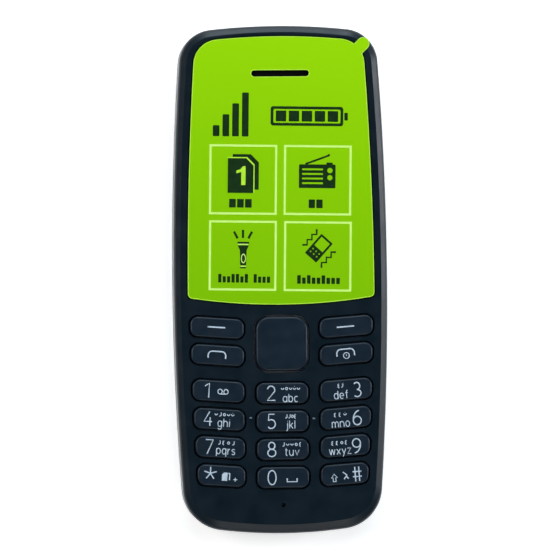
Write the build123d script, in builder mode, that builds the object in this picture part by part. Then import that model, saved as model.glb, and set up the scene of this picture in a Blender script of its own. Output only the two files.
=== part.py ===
from build123d import *
from math import sqrt
import os

os.makedirs("parts", exist_ok=True)

# A keypad phone lying on its back, face up, in millimetres. +X is right and +Y is towards the earpiece,
# seen from the front, and +Z comes out of the face. The origin is under the middle of the housing.

# Outline of the housing: four long arcs with round corners
half_width = 24.85
half_length = 58.95
side_bow = 2.25
top_crown = 1.73
bottom_crown = 2.30
top_corner_radius = 8.0
bottom_corner_radius = 9.8

# Thicknesses that stack up from the back to the face
cover_wall = 1.2
cover_play = 0.2
battery_thickness = 5.4
battery_play = 0.2
bay_floor = 0.8
under_board_gap = 0.5
board_thickness = 0.9
lcd_thickness = 2.5
gasket_thickness = 0.45
shelf_thickness = 0.7
adhesive_thickness = 0.15
lens_thickness = 1.0
film_thickness = 0.1

# Shells
front_wall = 1.8
seam_level = 6.8
seam_gap = 0.1
back_edge_radius = 5.0
rear_clearance = 0.15
rear_wall = 1.1
overrun = 1.0

# Rim: the band between the flat face and the sides
rim_width = 1.5
rim_foot = 0.6
rim_drop = 1.1
rim_round = 1.2

# Display window and the film over it
window_top_margin = 2.5
window_foot_gap = 3.58
window_side_margin = 3.15
window_taper = 2.17
window_side_bow = 0.53
window_top_crown = 1.24
window_bottom_crown = 1.72
window_top_radius = 5.85
window_bottom_radius = 1.1
lens_gap = 0.28
tab_side_inset = 2.93
tab_top_inset = 4.85
tab_reach = 3.1
tab_width = 2.8

# Display module
lcd_screw_gap = 0.95
lcd_top_gap = 1.33
lcd_foot_gap = 2.3
lcd_frame_thickness = 1.6
glass_side_margin = 0.6
glass_top_margin = 0.6
glass_foot_margin = 5.1
aperture_side_margin = 2.6
aperture_top_margin = 2.9
aperture_foot_margin = 7.2
gasket_border = 1.6
adhesive_inset = 0.6
flex_width = 18.0
flex_thickness = 0.15
flex_reach = 2.9
flex_lap = 1.2
flex_bend = 0.3
flex_stand_off = 0.5

# Earpiece
earpiece_x = 0.23
earpiece_margin = 8.6
slot_length = 13.4
slot_width = 1.46
mesh_margin = 0.8
mesh_thickness = 0.12
receiver_width = 6.0
receiver_corner = 2.4
receiver_play = 0.35
receiver_jack_gap = 1.9

# Keys
row_radius = 200.0
function_key_height = 4.6
function_spacing = 1.74
row_group_gap = 3.595
number_key_height = 4.83
number_spacing = 1.69
centre_key_half_width = 6.04
column_gap = 2.76
side_margin = 3.52
key_corner = 1.8
key_gap = 0.42
key_proud = 0.5
key_edge = 0.4
key_flange = 0.4
flange_thickness = 0.6
flange_play = 0.1
key_travel = 0.3
stem_radius = 1.3
stem_hole_play = 0.15

# Navigation key
nav_drop = 0.03
nav_width = 12.05
nav_length = 12.53
nav_corner = 3.1
nav_gap = 0.5
nav_proud = 0.35
nav_edge = 0.5
nav_cap_thickness = 1.9
nav_boss_radius = 2.5
rocker_border = 1.0
rocker_thickness = 0.5
rocker_play = 0.5
rocker_nib_reach = 5.0
rocker_nib_radius = 0.7
rocker_nib_length = 1.05
pivot_radius = 1.6
pivot_thickness = 0.4
pivot_gap = 0.12
plunger_radius = 1.5
nav_hole_play = 0.5

# Keymat, domes and lamps under the keys
dome_radius = 2.0
dome_height = 0.25
dome_rim = 0.06
sheet_thickness = 0.1
nib_gap = 0.38
web_thickness = 0.4
web_play = 0.15
skirt_width = 0.5
keymat_play = 0.3
keymat_foot = 0.895
flex_clearance = 0.4
sheet_margin = 0.9
lamp_width = 0.8
lamp_length = 1.6
lamp_height = 0.5
lamp_window_play = 0.4

# Ridges beside the middle key
ridge_lift = 0.75
ridge_length = 1.3
ridge_width = 0.35
ridge_height = 0.15

# Microphone
mic_margin = 6.65
mic_gap = 0.4
mic_hole_radius = 0.5
mic_radius = 2.0
mic_height = 1.2
boot_wall = 0.7
boot_play = 0.05

# Screws, their bosses in the front shell and their columns in the rear housing
top_screw_inset = 6.25
top_screw_margin = 8.45
middle_screw_inset = 4.55
middle_screw_lift = 9.8
bottom_screw_inset = 7.25
boss_gap = 0.4
boss_radius = 2.0
pilot_radius = 0.8
screw_radius = 0.75
screw_length = 5.8
pilot_spare = 0.4
head_radius = 1.5
head_height = 0.8
driver_width = 0.35
driver_length = 1.7
driver_depth = 0.4
column_radius = 2.3
head_seat = 1.6
head_play = 0.2

# Main board
board_play = 0.4
board_hole_play = 0.35

# Battery and its bay
battery_corner = 1.6
battery_edge = 0.6
bay_play = 0.3
bay_wall = 1.0
bay_side_margin = 6.55
terminal_width = 2.2
terminal_height = 1.6
terminal_thickness = 0.25
terminal_pitch = 4.0
terminal_level_share = 0.62
contact_block_width = 13.0
contact_block_depth = 3.0
contact_block_drop = 3.9
contact_width = 1.0
contact_height = 0.5
contact_gap = 0.1
contact_slot_play = 0.4

# Card holder, opening into the battery bay
card_holder_width = 15.5
card_holder_length = 17.5
card_holder_height = 1.2
card_holder_gap = 6.25
card_holder_skin = 0.2
card_slot_width = 13.0
card_window_width = 9.0
card_window_length = 9.0
card_window_play = 0.3

# Sockets
jack_screw_gap = 1.0
jack_ceiling_gap = 0.1
jack_bore_radius = 1.8
jack_nose_radius = 2.5
jack_hole_play = 0.15
jack_width = 6.2
jack_height = 4.6
jack_depth = 11.6
jack_recess = 0.2
jack_notch_play = 0.2
usb_place_share = 0.5
usb_width = 7.6
usb_height = 2.7
usb_depth = 5.4
usb_skin = 0.35
usb_corner = 0.8
usb_recess = 0.6
usb_tongue_width = 3.7
usb_tongue_thickness = 0.6
usb_tongue_length = 3.6
usb_hole_play = 0.3

# Torch in the top end
torch_lift = 0.1
torch_radius = 1.4
torch_hole_play = 0.12
torch_length = 3.3
torch_round = 0.4
torch_recess = 0.1
torch_led_width = 2.4
torch_led_depth = 1.6
torch_led_height = 2.3
torch_led_gap = 0.15

# Loudspeaker and its slots in the back
speaker_side_margin = 5.85
speaker_inner_x = 1.0
speaker_screw_gap = 1.7
speaker_length = 13.0
speaker_height = 3.8
speaker_corner = 2.5
speaker_mesh_thickness = 0.15
speaker_mesh_margin = 1.0
speaker_slot_margin = 4.0
speaker_slot_width = 1.2
speaker_slot_pitch = 2.4
speaker_slot_count = 4
cone_radius = 4.6
cone_depth = 0.5

# Vibration motor
motor_speaker_gap = 3.0
motor_drop = 3.5
motor_board_gap = 0.54
motor_length = 8.0
motor_sleeve_length = 5.6
motor_sleeve_wall = 0.6
motor_sleeve_play = 0.03
shaft_radius = 0.4
shaft_play = 0.05
shaft_grip = 3.0
weight_play = 0.1
weight_length = 3.2
weight_gap = 0.4

# Antenna, shields
antenna_column_gap = 0.3
antenna_length = 9.0
antenna_thickness = 0.3
antenna_margin = 7.95
antenna_slot_width = 0.9
antenna_slot_share = 0.72
antenna_slot_count = 6
shield_height = 1.6
shield_corner = 0.8
upper_shield_length = 6.75
upper_shield_margin = 7.35
upper_shield_inner_x = 0.5
upper_shield_gap = 1.25
shield_speaker_gap = 0.5
lower_shield_width = 26.0
lower_shield_length = 9.0
lower_shield_margin = 13.95
lower_shield_gap = 2.0

# Catches between the battery cover and the rear housing
catch_length = 5.0
catch_depth = 0.5
catch_height = 1.0
catch_drop = 0.5
catch_play = 0.3
catch_y_shares = (-0.62, 0.0, 0.62)
pry_length = 9.0
pry_height = 0.7
pry_depth = 0.7

# Levels
rear_level = cover_wall + cover_play
battery_top = rear_level + battery_thickness
bay_ceiling = battery_top + battery_play
bay_top = bay_ceiling + bay_floor
board_bottom = bay_top + under_board_gap
board_top = board_bottom + board_thickness
lcd_top = board_top + lcd_thickness
ceiling_level = lcd_top + gasket_thickness
shelf_level = ceiling_level + shelf_thickness
lens_level = shelf_level + adhesive_thickness
front_level = lens_level + lens_thickness
rear_floor_level = rear_level + rear_wall
key_top = front_level + key_proud
flange_top = ceiling_level - flange_play
flange_bottom = flange_top - flange_thickness
web_top = flange_bottom - key_travel - web_play
web_bottom = web_top - web_thickness
sheet_level = board_top + dome_height
nib_level = sheet_level + sheet_thickness + nib_gap
head_level = seam_level - head_seat
torch_level = board_top + torch_lift + torch_radius

# Places that follow from the sizes above
side_corner_y = half_length - top_crown
side_radius = (side_corner_y**2 + side_bow**2) / (2 * side_bow)
end_corner_x = half_width - side_bow
top_radius = (end_corner_x**2 + top_crown**2) / (2 * top_crown)
bottom_radius = (end_corner_x**2 + bottom_crown**2) / (2 * bottom_crown)
window_top = half_length - window_top_margin
window_half_width = half_width - window_side_margin
earpiece_y = window_top - earpiece_margin
top_screw_x = half_width - top_screw_inset
top_screw_y = half_length - top_screw_margin
middle_screw_x = half_width - middle_screw_inset
bottom_screw_x = half_width - bottom_screw_inset

# The keypad builds up from the microphone at the bottom end to the foot of the window
mic_y = mic_margin - half_length
keymat_bottom_y = mic_y + mic_radius + boot_wall + mic_gap
bottom_screw_y = keymat_bottom_y - boss_gap - boss_radius
number_pitch = number_key_height + number_spacing
last_row_y = keymat_bottom_y + keymat_foot + number_key_height / 2
number_rows_y = [last_row_y + row * number_pitch for row in (3, 2, 1, 0)]
call_row_y = number_rows_y[0] + (number_key_height + function_key_height) / 2 + row_group_gap
soft_row_y = call_row_y + function_key_height + function_spacing
nav_y = (soft_row_y + call_row_y) / 2 - nav_drop
window_bottom = soft_row_y + function_key_height / 2 + window_foot_gap
lcd_bottom_y = window_bottom + lcd_foot_gap
keymat_top_y = lcd_bottom_y - flex_reach - flex_clearance
middle_screw_y = keymat_top_y + middle_screw_lift
outer_key_inner_x = centre_key_half_width + column_gap
column_gap_x = centre_key_half_width + column_gap / 2
ridge_y = number_rows_y[1] + ridge_lift

# Loudspeaker, shield and contacts stack down from the upper screws to the battery
speaker_y = top_screw_y - column_radius - speaker_screw_gap - speaker_length / 2
speaker_outer_x = half_width - speaker_side_margin
speaker_width = speaker_outer_x - speaker_inner_x
speaker_x = -(speaker_outer_x + speaker_inner_x) / 2
motor_x = motor_speaker_gap - speaker_inner_x + motor_length / 2
motor_y = speaker_y - motor_drop
upper_shield_top_y = speaker_y - speaker_length / 2 - shield_speaker_gap
upper_shield_y = upper_shield_top_y - upper_shield_length / 2
upper_shield_outer_x = half_width - upper_shield_margin
upper_shield_width = upper_shield_outer_x + upper_shield_inner_x
upper_shield_x = -(upper_shield_outer_x - upper_shield_inner_x) / 2
contact_block_y = upper_shield_top_y - upper_shield_length - upper_shield_gap - contact_block_depth
bay_end_y = contact_block_y - bay_wall
lower_shield_y = lower_shield_margin + lower_shield_length / 2 - half_length
bay_foot_y = lower_shield_y + lower_shield_length / 2 + lower_shield_gap + bay_wall
battery_length = bay_end_y - bay_foot_y - 2 * bay_play
battery_width = 2 * (half_width - bay_side_margin - bay_wall - bay_play)
battery_y = (bay_end_y + bay_foot_y) / 2
card_holder_y = bay_end_y - card_holder_gap - card_holder_length / 2
antenna_y = antenna_margin + antenna_length / 2 - half_length
antenna_width = 2 * (bottom_screw_x - column_radius - antenna_column_gap)

# Sockets beside the screws, and what stands clear of them
jack_level = ceiling_level - jack_ceiling_gap - jack_height / 2
jack_x = top_screw_x - boss_radius - jack_screw_gap - jack_width / 2
receiver_length = 2 * (jack_x - jack_width / 2 - receiver_jack_gap)
receiver_height = ceiling_level - board_top - receiver_play
usb_inner_x = mic_radius + boot_wall
usb_x = usb_inner_x + (bottom_screw_x - boss_radius - usb_inner_x) * usb_place_share
sleeve_half = (board_bottom - rear_floor_level - motor_board_gap) / 2
motor_radius = sleeve_half - motor_sleeve_wall - motor_sleeve_play
screw_places = [
    (side * screw_x, screw_y)
    for side in (-1, 1)
    for screw_x, screw_y in (
        (top_screw_x, top_screw_y),
        (middle_screw_x, middle_screw_y),
        (bottom_screw_x, bottom_screw_y),
    )
]
terminal_level = rear_level + battery_thickness * terminal_level_share
terminal_places_x = [-terminal_pitch, 0, terminal_pitch]

standing = (Align.CENTER, Align.CENTER, Align.MIN)
hanging = (Align.CENTER, Align.CENTER, Align.MAX)


def rise(radius, x):
    """How far an arc of this radius has turned away from its crown at x."""
    return radius - sqrt(radius**2 - x**2)


def side_reach(y):
    """Where the bowed side of the housing lies at a height y along the phone."""
    return half_width - rise(side_radius, y)


def top_reach(x):
    """Where the top end of the housing lies at x."""
    return half_length - rise(top_radius, x)


def bottom_reach(x):
    """Where the bottom end of the housing lies at x, counted downwards."""
    return half_length - rise(bottom_radius, x)


def housing_outline(level, inset, foot=0):
    """The housing's outline, drawn in by inset, and by foot more at the bottom end."""
    side_x = half_width - inset
    corner_x = side_x - side_bow
    top_y = half_length - inset
    bottom_y = half_length - inset - foot
    upper_left = (-corner_x, top_y - top_crown)
    upper_right = (corner_x, top_y - top_crown)
    lower_left = (-corner_x, bottom_crown - bottom_y)
    lower_right = (corner_x, bottom_crown - bottom_y)
    with BuildSketch(Plane.XY.offset(level)) as outline:
        with BuildLine():
            ThreePointArc(upper_left, (0, top_y), upper_right)
            ThreePointArc(upper_right, (side_x, 0), lower_right)
            ThreePointArc(lower_right, (0, -bottom_y), lower_left)
            ThreePointArc(lower_left, (-side_x, 0), upper_left)
        make_face()
        fillet(outline.vertices().group_by(Axis.Y)[-1], top_corner_radius - inset)
        fillet(outline.vertices().group_by(Axis.Y)[0], bottom_corner_radius - inset)
    return outline.sketch


def window_outline(level, grow):
    """The display window's outline, wider at its lower corners, grown by grow."""
    lower_x = window_half_width + grow
    upper_x = lower_x - window_taper
    top_y = window_top + grow
    bottom_y = window_bottom - grow
    upper_y = top_y - window_top_crown
    lower_y = bottom_y + window_bottom_crown
    middle_x = (lower_x + upper_x) / 2 + window_side_bow
    middle_y = (upper_y + lower_y) / 2
    with BuildSketch(Plane.XY.offset(level)) as outline:
        with BuildLine():
            ThreePointArc((-upper_x, upper_y), (0, top_y), (upper_x, upper_y))
            ThreePointArc((upper_x, upper_y), (middle_x, middle_y), (lower_x, lower_y))
            ThreePointArc((lower_x, lower_y), (0, bottom_y), (-lower_x, lower_y))
            ThreePointArc((-lower_x, lower_y), (-middle_x, middle_y), (-upper_x, upper_y))
        make_face()
        fillet(outline.vertices().group_by(Axis.Y)[-1], window_top_radius + grow)
        fillet(outline.vertices().group_by(Axis.Y)[0], window_bottom_radius + grow)
    return outline.sketch


def earpiece_slot(level, grow):
    """The earpiece slot's outline, grown by grow."""
    with BuildSketch(Plane.XY.offset(level)) as outline:
        with Locations((earpiece_x, earpiece_y)):
            SlotOverall(slot_length + 2 * grow, slot_width + 2 * grow)
    return outline.sketch


def aperture_outline(level, grow):
    """The opening in front of the display, grown by grow."""
    with BuildSketch(Plane.XY.offset(level)) as outline:
        with Locations((0, aperture_y)):
            Rectangle(aperture_width + 2 * grow, aperture_length + 2 * grow)
    return outline.sketch


def key_outline(level, column, row_y, height, grow):
    """A key's outline. Column -1 is left, 0 the middle and 1 right, and the rows follow one long arc."""
    inner_x = outer_key_inner_x - grow
    upper = row_y + height / 2 + grow
    lower = row_y - height / 2 - grow
    outer_upper_x = side_reach(upper) - side_margin + grow
    outer_lower_x = side_reach(lower) - side_margin + grow
    with BuildSketch(Plane.XY.offset(level)) as outline:
        if column == 0:
            with Locations((0, row_y)):
                Rectangle(2 * (centre_key_half_width + grow), height + 2 * grow)
        else:
            with BuildLine():
                Polyline(
                    (column * inner_x, upper + rise(row_radius, inner_x)),
                    (column * outer_upper_x, upper + rise(row_radius, outer_upper_x)),
                    (column * outer_lower_x, lower + rise(row_radius, outer_lower_x)),
                    (column * inner_x, lower + rise(row_radius, inner_x)),
                    close=True,
                )
            make_face()
        fillet(outline.vertices(), key_corner + grow)
    return outline.sketch


def stem_place(column, row_y):
    """The middle of a key, where its stem stands."""
    x = column * (outer_key_inner_x + side_reach(row_y) - side_margin) / 2
    return x, row_y + rise(row_radius, x)


def nav_outline(level, grow):
    """The navigation key's rounded square, grown by grow."""
    with BuildSketch(Plane.XY.offset(level)) as outline:
        with Locations((0, nav_y)):
            RectangleRounded(nav_width + 2 * grow, nav_length + 2 * grow, nav_corner + grow)
    return outline.sketch


def speaker_slots(level):
    """The row of slots in front of the loudspeaker."""
    with BuildSketch(Plane.XY.offset(level)) as outline:
        with Locations((speaker_x, speaker_y)):
            with GridLocations(0, speaker_slot_pitch, 1, speaker_slot_count):
                SlotOverall(speaker_width - 2 * speaker_slot_margin, speaker_slot_width)
    return outline.sketch


# Sockets in the top end, and the display below whatever reaches lowest there
jack_mouth_y = top_reach(jack_x)
jack_body_y = top_reach(jack_x + jack_width / 2) - front_wall - jack_notch_play
jack_end_y = jack_body_y - jack_depth
usb_mouth_y = -bottom_reach(usb_x)
lcd_top_y = min(jack_end_y, earpiece_y - receiver_width / 2) - lcd_top_gap
lcd_length = lcd_top_y - lcd_bottom_y
lcd_y = (lcd_top_y + lcd_bottom_y) / 2
lcd_width = 2 * (middle_screw_x - boss_radius - lcd_screw_gap)
glass_length = lcd_length - glass_top_margin - glass_foot_margin
glass_y = lcd_y + (glass_foot_margin - glass_top_margin) / 2
glass_width = lcd_width - 2 * glass_side_margin
aperture_length = lcd_length - aperture_top_margin - aperture_foot_margin
aperture_y = lcd_y + (aperture_foot_margin - aperture_top_margin) / 2
aperture_width = lcd_width - 2 * aperture_side_margin

# Every pressed key: its name, column, row and height
function_rows = (
    (soft_row_y, "soft_left", "soft_right"),
    (call_row_y, "key_call", "key_end"),
)
number_names = (
    ("key_1", "key_2", "key_3"),
    ("key_4", "key_5", "key_6"),
    ("key_7", "key_8", "key_9"),
    ("key_star", "key_0", "key_hash"),
)
key_places = []
for row_y, left_name, right_name in function_rows:
    key_places.append((left_name, -1, row_y, function_key_height))
    key_places.append((right_name, 1, row_y, function_key_height))
for row_y, row_names in zip(number_rows_y, number_names):
    for column, name in zip((-1, 0, 1), row_names):
        key_places.append((name, column, row_y, number_key_height))
stem_places = [stem_place(column, row_y) for name, column, row_y, height in key_places]
nav_dome_places = [
    (0, nav_y),
    (0, nav_y + rocker_nib_reach),
    (0, nav_y - rocker_nib_reach),
    (rocker_nib_reach, nav_y),
    (-rocker_nib_reach, nav_y),
]

# Front shell: side walls, bevelled rim and face in one moulding
crease_level = front_level - rim_drop
with BuildPart() as front_cover:
    extrude(housing_outline(seam_level, 0), amount=crease_level - seam_level)
    crease_face = housing_outline(crease_level, 0).face()
    loft([crease_face, housing_outline(front_level, rim_width, rim_foot).face()])
    crease_edges = front_cover.edges().filter_by(
        lambda edge: abs(edge.center().Z - crease_level) < seam_gap
    )
    fillet(crease_edges, rim_round)
    extrude(
        housing_outline(seam_level, front_wall),
        amount=ceiling_level - seam_level,
        mode=Mode.SUBTRACT,
    )
    # Screw bosses, down to the seam, kept inside the housing
    with BuildSketch(Plane.XY.offset(seam_level)) as bosses:
        with Locations(*screw_places):
            Circle(boss_radius)
        add(housing_outline(0, rim_width), mode=Mode.INTERSECT)
    extrude(amount=ceiling_level - seam_level)
    with Locations(*[(x, y, seam_level) for x, y in screw_places]):
        Cylinder(pilot_radius, screw_length - head_seat + pilot_spare, align=standing, mode=Mode.SUBTRACT)
    # Window recess, display opening and earpiece slot
    recess_depth = front_level - shelf_level + overrun
    extrude(window_outline(shelf_level, lens_gap), amount=recess_depth, mode=Mode.SUBTRACT)
    shelf_cut_level = ceiling_level - overrun
    shelf_cut = shelf_thickness + 2 * overrun
    extrude(aperture_outline(shelf_cut_level, 0), amount=shelf_cut, mode=Mode.SUBTRACT)
    extrude(earpiece_slot(shelf_cut_level, 0), amount=shelf_cut, mode=Mode.SUBTRACT)
    # Key openings
    for name, column, row_y, height in key_places:
        extrude(
            key_outline(ceiling_level - overrun, column, row_y, height, key_gap),
            amount=front_level - ceiling_level + 2 * overrun,
            mode=Mode.SUBTRACT,
        )
    extrude(
        nav_outline(ceiling_level - overrun, nav_gap),
        amount=front_level - ceiling_level + 2 * overrun,
        mode=Mode.SUBTRACT,
    )
    with Locations((0, mic_y, ceiling_level - overrun)):
        Cylinder(
            mic_hole_radius,
            front_level - ceiling_level + 2 * overrun,
            align=standing,
            mode=Mode.SUBTRACT,
        )
    # Socket, charging and torch holes in the ends
    with BuildSketch(Plane.XZ.offset(-(jack_mouth_y - 2 * front_wall))) as end_holes:
        with Locations((jack_x, jack_level)):
            Circle(jack_nose_radius + jack_hole_play)
        with Locations((0, torch_level)):
            Circle(torch_radius + torch_hole_play)
    extrude(amount=-(2 * front_wall + overrun), mode=Mode.SUBTRACT)
    with BuildSketch(Plane.XZ.offset(-(usb_mouth_y + 2 * front_wall))) as charging_hole:
        with Locations((usb_x, board_top + usb_height / 2)):
            RectangleRounded(usb_width + 2 * usb_hole_play, usb_height + 2 * usb_hole_play, usb_corner)
    extrude(amount=2 * front_wall + overrun, mode=Mode.SUBTRACT)
    # Two ridges beside the middle key
    with BuildSketch(Plane.XY.offset(front_level)) as ridges:
        with Locations((-column_gap_x, ridge_y), (column_gap_x, ridge_y)):
            SlotOverall(ridge_length, ridge_width)
    extrude(amount=ridge_height)
front_cover.part.label = "front_cover"
export_step(front_cover.part, "parts/front_cover.step")

# Adhesive frame between the shelf and the lens
with BuildPart() as lens_adhesive:
    extrude(window_outline(shelf_level, -adhesive_inset), amount=adhesive_thickness)
    extrude(aperture_outline(shelf_level, adhesive_inset), amount=adhesive_thickness, mode=Mode.SUBTRACT)
    extrude(
        earpiece_slot(shelf_level, mesh_margin + seam_gap),
        amount=adhesive_thickness,
        mode=Mode.SUBTRACT,
    )
lens_adhesive.part.label = "lens_adhesive"
export_step(lens_adhesive.part, "parts/lens_adhesive.step")

# Mesh behind the earpiece slot
with BuildPart() as earpiece_mesh:
    extrude(earpiece_slot(shelf_level, mesh_margin), amount=mesh_thickness)
earpiece_mesh.part.label = "earpiece_mesh"
export_step(earpiece_mesh.part, "parts/earpiece_mesh.step")

# Display window
with BuildPart() as display_lens:
    extrude(window_outline(lens_level, 0), amount=lens_thickness)
    extrude(earpiece_slot(lens_level, 0), amount=lens_thickness, mode=Mode.SUBTRACT)
display_lens.part.label = "display_lens"
export_step(display_lens.part, "parts/display_lens.step")

# Protective film with its pull tab over the corner
tab_root_x = window_half_width - window_taper - tab_side_inset
tab_root_y = window_top - tab_top_inset
tab_end_x = tab_root_x + tab_reach
tab_end_y = tab_root_y + tab_reach
with BuildPart() as protective_film:
    extrude(window_outline(front_level, 0), amount=film_thickness)
    with BuildSketch(Plane.XY.offset(front_level)) as tab:
        with BuildLine():
            Line((tab_root_x, tab_root_y), (tab_end_x, tab_end_y))
        trace(line_width=tab_width)
        with Locations((tab_end_x, tab_end_y)):
            Circle(tab_width / 2)
    extrude(amount=film_thickness)
    extrude(earpiece_slot(front_level, 0), amount=film_thickness, mode=Mode.SUBTRACT)
protective_film.part.label = "protective_film"
export_step(protective_film.part, "parts/protective_film.step")

# Foam gasket between the display and the shelf
with BuildPart() as lcd_gasket:
    extrude(aperture_outline(lcd_top, gasket_border), amount=gasket_thickness)
    extrude(aperture_outline(lcd_top, 0), amount=gasket_thickness, mode=Mode.SUBTRACT)
lcd_gasket.part.label = "lcd_gasket"
export_step(lcd_gasket.part, "parts/lcd_gasket.step")

# Display module: backlight frame with the glass on it
with BuildPart() as lcd_module:
    with Locations((0, lcd_y, board_top)):
        Box(lcd_width, lcd_length, lcd_frame_thickness, align=standing)
    with Locations((0, glass_y, board_top + lcd_frame_thickness)):
        Box(glass_width, glass_length, lcd_thickness - lcd_frame_thickness, align=standing)
lcd_module.part.label = "lcd_module"
export_step(lcd_module.part, "parts/lcd_module.step")

# Ribbon from the display's lower ledge down to the board
ledge_level = board_top + lcd_frame_thickness + flex_thickness / 2
flex_foot_level = board_top + flex_thickness / 2
with BuildPart() as lcd_flex:
    with BuildSketch(Plane.YZ) as ribbon:
        with BuildLine():
            FilletPolyline(
                (lcd_bottom_y + flex_lap, ledge_level),
                (lcd_bottom_y - flex_stand_off, ledge_level),
                (lcd_bottom_y - flex_stand_off, flex_foot_level),
                (lcd_bottom_y - flex_reach, flex_foot_level),
                radius=flex_bend,
            )
        trace(line_width=flex_thickness)
    extrude(amount=flex_width / 2, both=True)
lcd_flex.part.label = "lcd_flex"
export_step(lcd_flex.part, "parts/lcd_flex.step")

# Pressed keys: cap, retaining flange and stem in one piece each
for name, column, row_y, height in key_places:
    with BuildPart() as key:
        extrude(key_outline(flange_top, column, row_y, height, 0), amount=key_top - flange_top)
        fillet(key.faces().sort_by(Axis.Z)[-1].edges(), key_edge)
        extrude(key_outline(flange_bottom, column, row_y, height, key_flange), amount=flange_thickness)
        with BuildSketch(Plane.XY.offset(nib_level)) as stem:
            with Locations(stem_place(column, row_y)):
                Circle(stem_radius)
        extrude(amount=flange_bottom - nib_level)
    key.part.label = name
    export_step(key.part, f"parts/{name}.step")

# Navigation key: a cap on a rocker plate, which stands on a pivot and a plunger
nav_top = front_level + nav_proud
nav_cap_bottom = nav_top - nav_cap_thickness
rocker_top = ceiling_level - rocker_play
rocker_bottom = rocker_top - rocker_thickness
pivot_top = rocker_bottom - pivot_gap
pivot_bottom = pivot_top - pivot_thickness
plunger_top = pivot_bottom - pivot_gap
with BuildPart() as nav_key:
    extrude(nav_outline(nav_cap_bottom, 0), amount=nav_cap_thickness)
    fillet(nav_key.faces().sort_by(Axis.Z)[-1].edges(), nav_edge)
    with Locations((0, nav_y, rocker_top)):
        Cylinder(nav_boss_radius, nav_cap_bottom - rocker_top, align=standing)
nav_key.part.label = "nav_key"
export_step(nav_key.part, "parts/nav_key.step")

with BuildPart() as nav_rocker:
    extrude(nav_outline(rocker_bottom, rocker_border), amount=rocker_thickness)
    with Locations(*[(x, y, rocker_bottom) for x, y in nav_dome_places[1:]]):
        Cylinder(rocker_nib_radius, rocker_nib_length, align=hanging)
nav_rocker.part.label = "nav_rocker"
export_step(nav_rocker.part, "parts/nav_rocker.step")

with BuildPart() as nav_pivot:
    with Locations((0, nav_y, pivot_bottom)):
        Cylinder(pivot_radius, pivot_thickness, align=standing)
nav_pivot.part.label = "nav_pivot"
export_step(nav_pivot.part, "parts/nav_pivot.step")

with BuildPart() as nav_plunger:
    with Locations((0, nav_y, nib_level)):
        Cylinder(plunger_radius, plunger_top - nib_level, align=standing)
nav_plunger.part.label = "nav_plunger"
export_step(nav_plunger.part, "parts/nav_plunger.step")


def keypad_field(level, inset, margin):
    """The keypad's field inside the front shell: the housing's width between two lines across it."""
    field_top = keymat_top_y - margin
    field_bottom = keymat_bottom_y + margin
    with BuildSketch(Plane.XY.offset(level)) as field:
        add(housing_outline(0, inset + margin))
        with Locations((0, (field_top + field_bottom) / 2)):
            Rectangle(2 * half_width, field_top - field_bottom, mode=Mode.INTERSECT)
    return field.sketch


# Keymat: a thin web with a skirt that stands on the board
keymat_inset = front_wall + keymat_play
with BuildPart() as keymat:
    extrude(keypad_field(board_top, keymat_inset, 0), amount=web_top - board_top)
    extrude(
        keypad_field(board_top, keymat_inset, skirt_width),
        amount=web_bottom - board_top,
        mode=Mode.SUBTRACT,
    )
    with Locations(*[(x, y, web_bottom) for x, y in stem_places]):
        Cylinder(stem_radius + stem_hole_play, web_thickness, align=standing, mode=Mode.SUBTRACT)
    extrude(
        nav_outline(web_bottom, rocker_border + nav_hole_play),
        amount=web_thickness,
        mode=Mode.SUBTRACT,
    )
keymat.part.label = "keymat"
export_step(keymat.part, "parts/keymat.step")

# Snap domes on the board, one under each key and five under the navigation key
dome_places = stem_places + nav_dome_places
dome_crown = dome_height - dome_rim
dome_curve = (dome_radius**2 + dome_crown**2) / (2 * dome_crown)
with BuildPart() as dome:
    with BuildSketch(Plane.XZ) as dome_profile:
        with BuildLine():
            Polyline((0, dome_height), (0, 0), (dome_radius, 0), (dome_radius, dome_rim))
            ThreePointArc(
                (dome_radius, dome_rim),
                (dome_radius / 2, dome_height - rise(dome_curve, dome_radius / 2)),
                (0, dome_height),
            )
        make_face()
    revolve(axis=Axis.Z)
with BuildPart() as metal_domes:
    with Locations(*[(x, y, board_top) for x, y in dome_places]):
        add(dome.part)
metal_domes.part.label = "metal_domes"
export_step(metal_domes.part, "parts/metal_domes.step")

# Lamps between the key columns
lamp_rows_y = [(upper + lower) / 2 for upper, lower in zip(number_rows_y, number_rows_y[1:])]
lamp_places = [(side * column_gap_x, lamp_y) for side in (-1, 1) for lamp_y in lamp_rows_y]
with BuildPart() as keypad_leds:
    with Locations(*[(x, y, board_top) for x, y in lamp_places]):
        Box(lamp_width, lamp_length, lamp_height, align=standing)
keypad_leds.part.label = "keypad_leds"
export_step(keypad_leds.part, "parts/keypad_leds.step")

# Sheet that holds the domes, with windows for the lamps
with BuildPart() as dome_sheet:
    extrude(keypad_field(sheet_level, keymat_inset, sheet_margin), amount=sheet_thickness)
    with Locations(*[(x, y, sheet_level) for x, y in lamp_places]):
        Box(
            lamp_width + 2 * lamp_window_play,
            lamp_length + 2 * lamp_window_play,
            sheet_thickness,
            align=standing,
            mode=Mode.SUBTRACT,
        )
dome_sheet.part.label = "dome_sheet"
export_step(dome_sheet.part, "parts/dome_sheet.step")

# Main board, cut out for the screw bosses and the socket
with BuildPart() as main_board:
    extrude(housing_outline(board_bottom, front_wall + board_play), amount=board_thickness)
    with Locations(*[(x, y, board_bottom) for x, y in screw_places]):
        Cylinder(boss_radius + board_hole_play, board_thickness, align=standing, mode=Mode.SUBTRACT)
    with Locations((jack_x, jack_end_y - jack_notch_play, board_bottom)):
        Box(
            jack_width + 2 * jack_notch_play,
            jack_depth + front_wall + overrun,
            board_thickness,
            align=(Align.CENTER, Align.MIN, Align.MIN),
            mode=Mode.SUBTRACT,
        )
main_board.part.label = "main_board"
export_step(main_board.part, "parts/main_board.step")

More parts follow.
